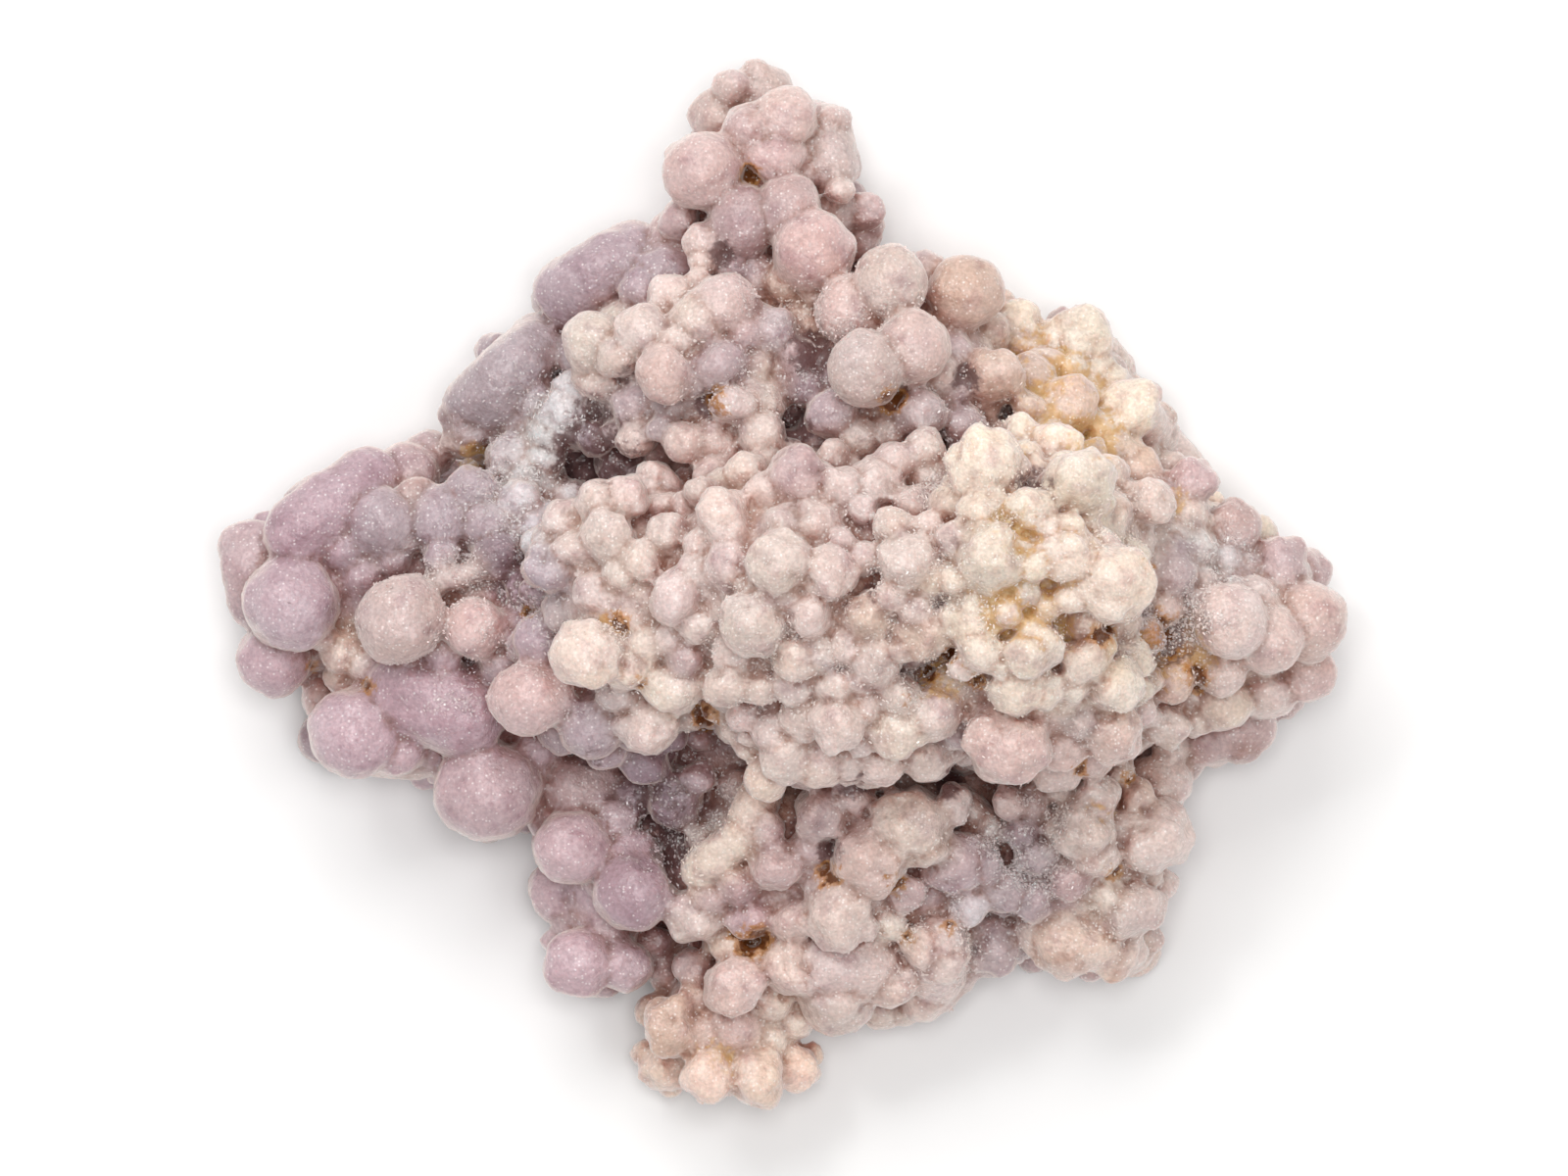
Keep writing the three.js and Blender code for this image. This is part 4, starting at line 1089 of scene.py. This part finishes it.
def makeStoneMaterial():
    material = bpy.data.materials.new("chalcedony")
    material.use_nodes = True
    tree = material.node_tree
    surface = tree.nodes["Principled BSDF"]
    surface.location = (2000, 0)
    tree.nodes["Material Output"].location = (2300, 0)
    reads = {"Place": addNode(tree, "ShaderNodeTexCoord").outputs["Object"]}
    for label, output in (("Tone", "Color"), ("Marks", "Color"), ("Stains", "Color"), ("Druse", "Fac")):
        reads[label] = addNode(tree, "ShaderNodeAttribute", attribute_name=label.lower()).outputs[output]
    reads["Normal"] = addNode(tree, "ShaderNodeNewGeometry").outputs["Normal"]
    colours = addNode(tree, "ShaderNodeGroup", node_tree=makeColourGroup())
    facets = addNode(tree, "ShaderNodeGroup", node_tree=makeGrainGroup())
    for group in (colours, facets):
        for socket in group.inputs:
            feed(tree, reads[socket.name], socket)
    # Painted light: the balls' edges, where they turn from view, are lighter, as if lit through the stone
    facing = addNode(tree, "ShaderNodeLayerWeight")
    facing.inputs["Blend"].default_value = 0.5
    rimLight = doMath(tree, "MULTIPLY", ramp(tree, facing.outputs["Facing"], *stone["rimLightRange"]), stone["rimLight"])
    skin = mixColours(tree, rimLight, colours.outputs["Color"], linearColour(paints["rimLight"]))
    feed(tree, skin, surface.inputs["Base Color"])
    feed(tree, facets.outputs["Roughness"], surface.inputs["Roughness"])
    bump = addNode(tree, "ShaderNodeBump")
    bump.inputs["Strength"].default_value = stone["bump"]
    bump.inputs["Distance"].default_value = stone["bumpDepth"] * mm
    feed(tree, facets.outputs["Height"], bump.inputs["Height"])
    feed(tree, facets.outputs["Normal"], bump.inputs["Normal"])
    feed(tree, bump.outputs["Normal"], surface.inputs["Normal"])
    surface.inputs["Subsurface Weight"].default_value = stone["subsurface"]
    surface.inputs["Subsurface Radius"].default_value = stone["subsurfaceTint"]
    surface.inputs["Subsurface Scale"].default_value = stone["subsurfaceDepth"] * mm
    surface.inputs["IOR"].default_value = stone["refraction"]
    return material


# Quartz grains: how many to a square metre where the coat is full, and their sizes in mm
grains = {"density": 1.3e7, "thinning": 1.6, "size": (0.05, 0.13), "length": 2.0}


# One small eight-sided crystal, strewn over the coated places and made real
def growGrains(cluster):
    deselectAll()
    bpy.ops.mesh.primitive_uv_sphere_add(segments=4, ring_count=2, radius=1, location=(0, 0, 0))
    crystal = bpy.context.object
    crystal.data.transform(Matrix.Diagonal((mm, mm, mm * grains["length"], 1)))
    coat = bpy.data.objects.new("quartzGrains", cluster.data.copy())
    coat.data.name = "quartzGrains"
    bpy.context.collection.objects.link(coat)
    tree = bpy.data.node_groups.new("strewGrains", "GeometryNodeTree")
    for way in ("INPUT", "OUTPUT"):
        tree.interface.new_socket("Geometry", in_out=way, socket_type="NodeSocketGeometry")
    start = addNode(tree, "NodeGroupInput")
    end = addNode(tree, "NodeGroupOutput")
    druseValue = addNode(tree, "GeometryNodeInputNamedAttribute", data_type="FLOAT")
    druseValue.inputs["Name"].default_value = "druse"
    strength = doMath(tree, "POWER", druseValue.outputs["Attribute"], grains["thinning"])
    strew = addNode(tree, "GeometryNodeDistributePointsOnFaces")
    feed(tree, start.outputs[0], strew.inputs["Mesh"])
    feed(tree, doMath(tree, "MULTIPLY", strength, grains["density"]), strew.inputs["Density"])
    source = addNode(tree, "GeometryNodeObjectInfo")
    source.inputs["Object"].default_value = crystal
    turn = addNode(tree, "FunctionNodeRandomValue", data_type="FLOAT_VECTOR")
    turn.inputs["Max"].default_value = (6.28, 6.28, 6.28)
    size = addNode(tree, "FunctionNodeRandomValue", data_type="FLOAT")
    size.inputs["Min"].default_value, size.inputs["Max"].default_value = grains["size"]
    size.inputs["Seed"].default_value = 3
    place = addNode(tree, "GeometryNodeInstanceOnPoints")
    feed(tree, strew.outputs["Points"], place.inputs["Points"])
    feed(tree, source.outputs["Geometry"], place.inputs["Instance"])
    feed(tree, turn.outputs["Value"], place.inputs["Rotation"])
    feed(tree, size.outputs[1], place.inputs["Scale"])
    real = addNode(tree, "GeometryNodeRealizeInstances")
    feed(tree, place.outputs[0], real.inputs[0])
    feed(tree, real.outputs[0], end.inputs[0])
    strewing = coat.modifiers.new("strewing", "NODES")
    strewing.node_group = tree
    applyModifiers(coat)
    bpy.data.objects.remove(crystal)
    bpy.data.node_groups.remove(tree)
    print("grains strewn:", len(coat.data.polygons), "faces")
    return coat


def makeGrainMaterial():
    quartz = bpy.data.materials.new("quartzGrain")
    quartz.use_nodes = True
    tree = quartz.node_tree
    surface = tree.nodes["Principled BSDF"]
    tone = addNode(tree, "ShaderNodeAttribute", attribute_name="tone")
    pale = mixColours(tree, 0.3, tone.outputs["Color"], linearColour(paints["frost"]))
    feed(tree, pale, surface.inputs["Base Color"])
    surface.inputs["Roughness"].default_value = 0.2
    surface.inputs["IOR"].default_value = 1.55
    return quartz


# The photo's frame: 1600 px wide, 11.56 px to a mm, seen from straight above
shot = {"distance": 3000, "planeHeight": 20, "frameWidth": 138.4, "sensor": 36, "centre": (0.21, 0.11)}


def makeCamera():
    lens = bpy.data.cameras.new("camera")
    lens.sensor_width = shot["sensor"]
    lens.lens = shot["sensor"] * shot["distance"] / shot["frameWidth"]
    lens.clip_end = 100
    camera = bpy.data.objects.new("camera", lens)
    bpy.context.collection.objects.link(camera)
    height = shot["distance"] + shot["planeHeight"]
    camera.location = (shot["centre"][0] * mm, shot["centre"][1] * mm, height * mm)
    bpy.context.scene.camera = camera


def makeFloor():
    deselectAll()
    bpy.ops.mesh.primitive_plane_add(size=12, location=(0, 0, 0))
    floor = bpy.context.object
    floor.name = "floor"
    paint = bpy.data.materials.new("floorPaint")
    paint.use_nodes = True
    surface = paint.node_tree.nodes["Principled BSDF"]
    surface.inputs["Base Color"].default_value = (0.9, 0.9, 0.9, 1)
    surface.inputs["Roughness"].default_value = 0.8
    floor.data.materials.append(paint)


lamps = {
    "key": {"place": (-0.15, 0.75, 0.85), "size": 0.6, "power": 5.2, "colour": (1, 0.985, 0.96)},
    "fill": {"place": (0.6, -0.5, 0.8), "size": 0.9, "power": 1.4, "colour": (0.98, 0.98, 1)},
    "above": {"place": (0.02, 0.04, 1.4), "size": 0.4, "power": 7.0, "colour": (1, 0.99, 0.98)},
    "glint": {"place": (-0.5, 0.6, 1.2), "size": 0.25, "power": 2.2, "colour": (1, 1, 1)},
}


def makeLights():
    for name, lamp in lamps.items():
        light = bpy.data.lights.new(name, "AREA")
        light.size = lamp["size"]
        light.energy = lamp["power"]
        light.color = lamp["colour"]
        holder = bpy.data.objects.new(name, light)
        bpy.context.collection.objects.link(holder)
        holder.location = lamp["place"]
        holder.rotation_euler = (-Vector(lamp["place"])).to_track_quat("-Z", "Y").to_euler()
    world = bpy.data.worlds.new("studio")
    world.use_nodes = True
    world.node_tree.nodes["Background"].inputs["Color"].default_value = (1, 1, 1, 1)
    world.node_tree.nodes["Background"].inputs["Strength"].default_value = 0.48
    bpy.context.scene.world = world
    bpy.context.scene.view_settings.view_transform = "Standard"


makeCamera()
makeFloor()
makeLights()
print("camera, floor and lights made")
balls = growBalls()
cluster = growCluster(balls)
cutBase(cluster)
cluster = dropLooseBits(cluster)
print("cluster grown:", countTriangles(cluster), "triangles")
paintCluster(cluster, balls)
standOnFloor([cluster], cluster)
coat = growGrains(cluster)
coat.data.materials.clear()
coat.data.materials.append(makeGrainMaterial())
print("cluster painted")

cluster.data.materials.clear()
cluster.data.materials.append(makeStoneMaterial())
for thing in (cluster, coat):
    for face in thing.data.polygons:
        face.material_index = 0

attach(coat, "root")
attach(cluster, "root")
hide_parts("chalcedony")
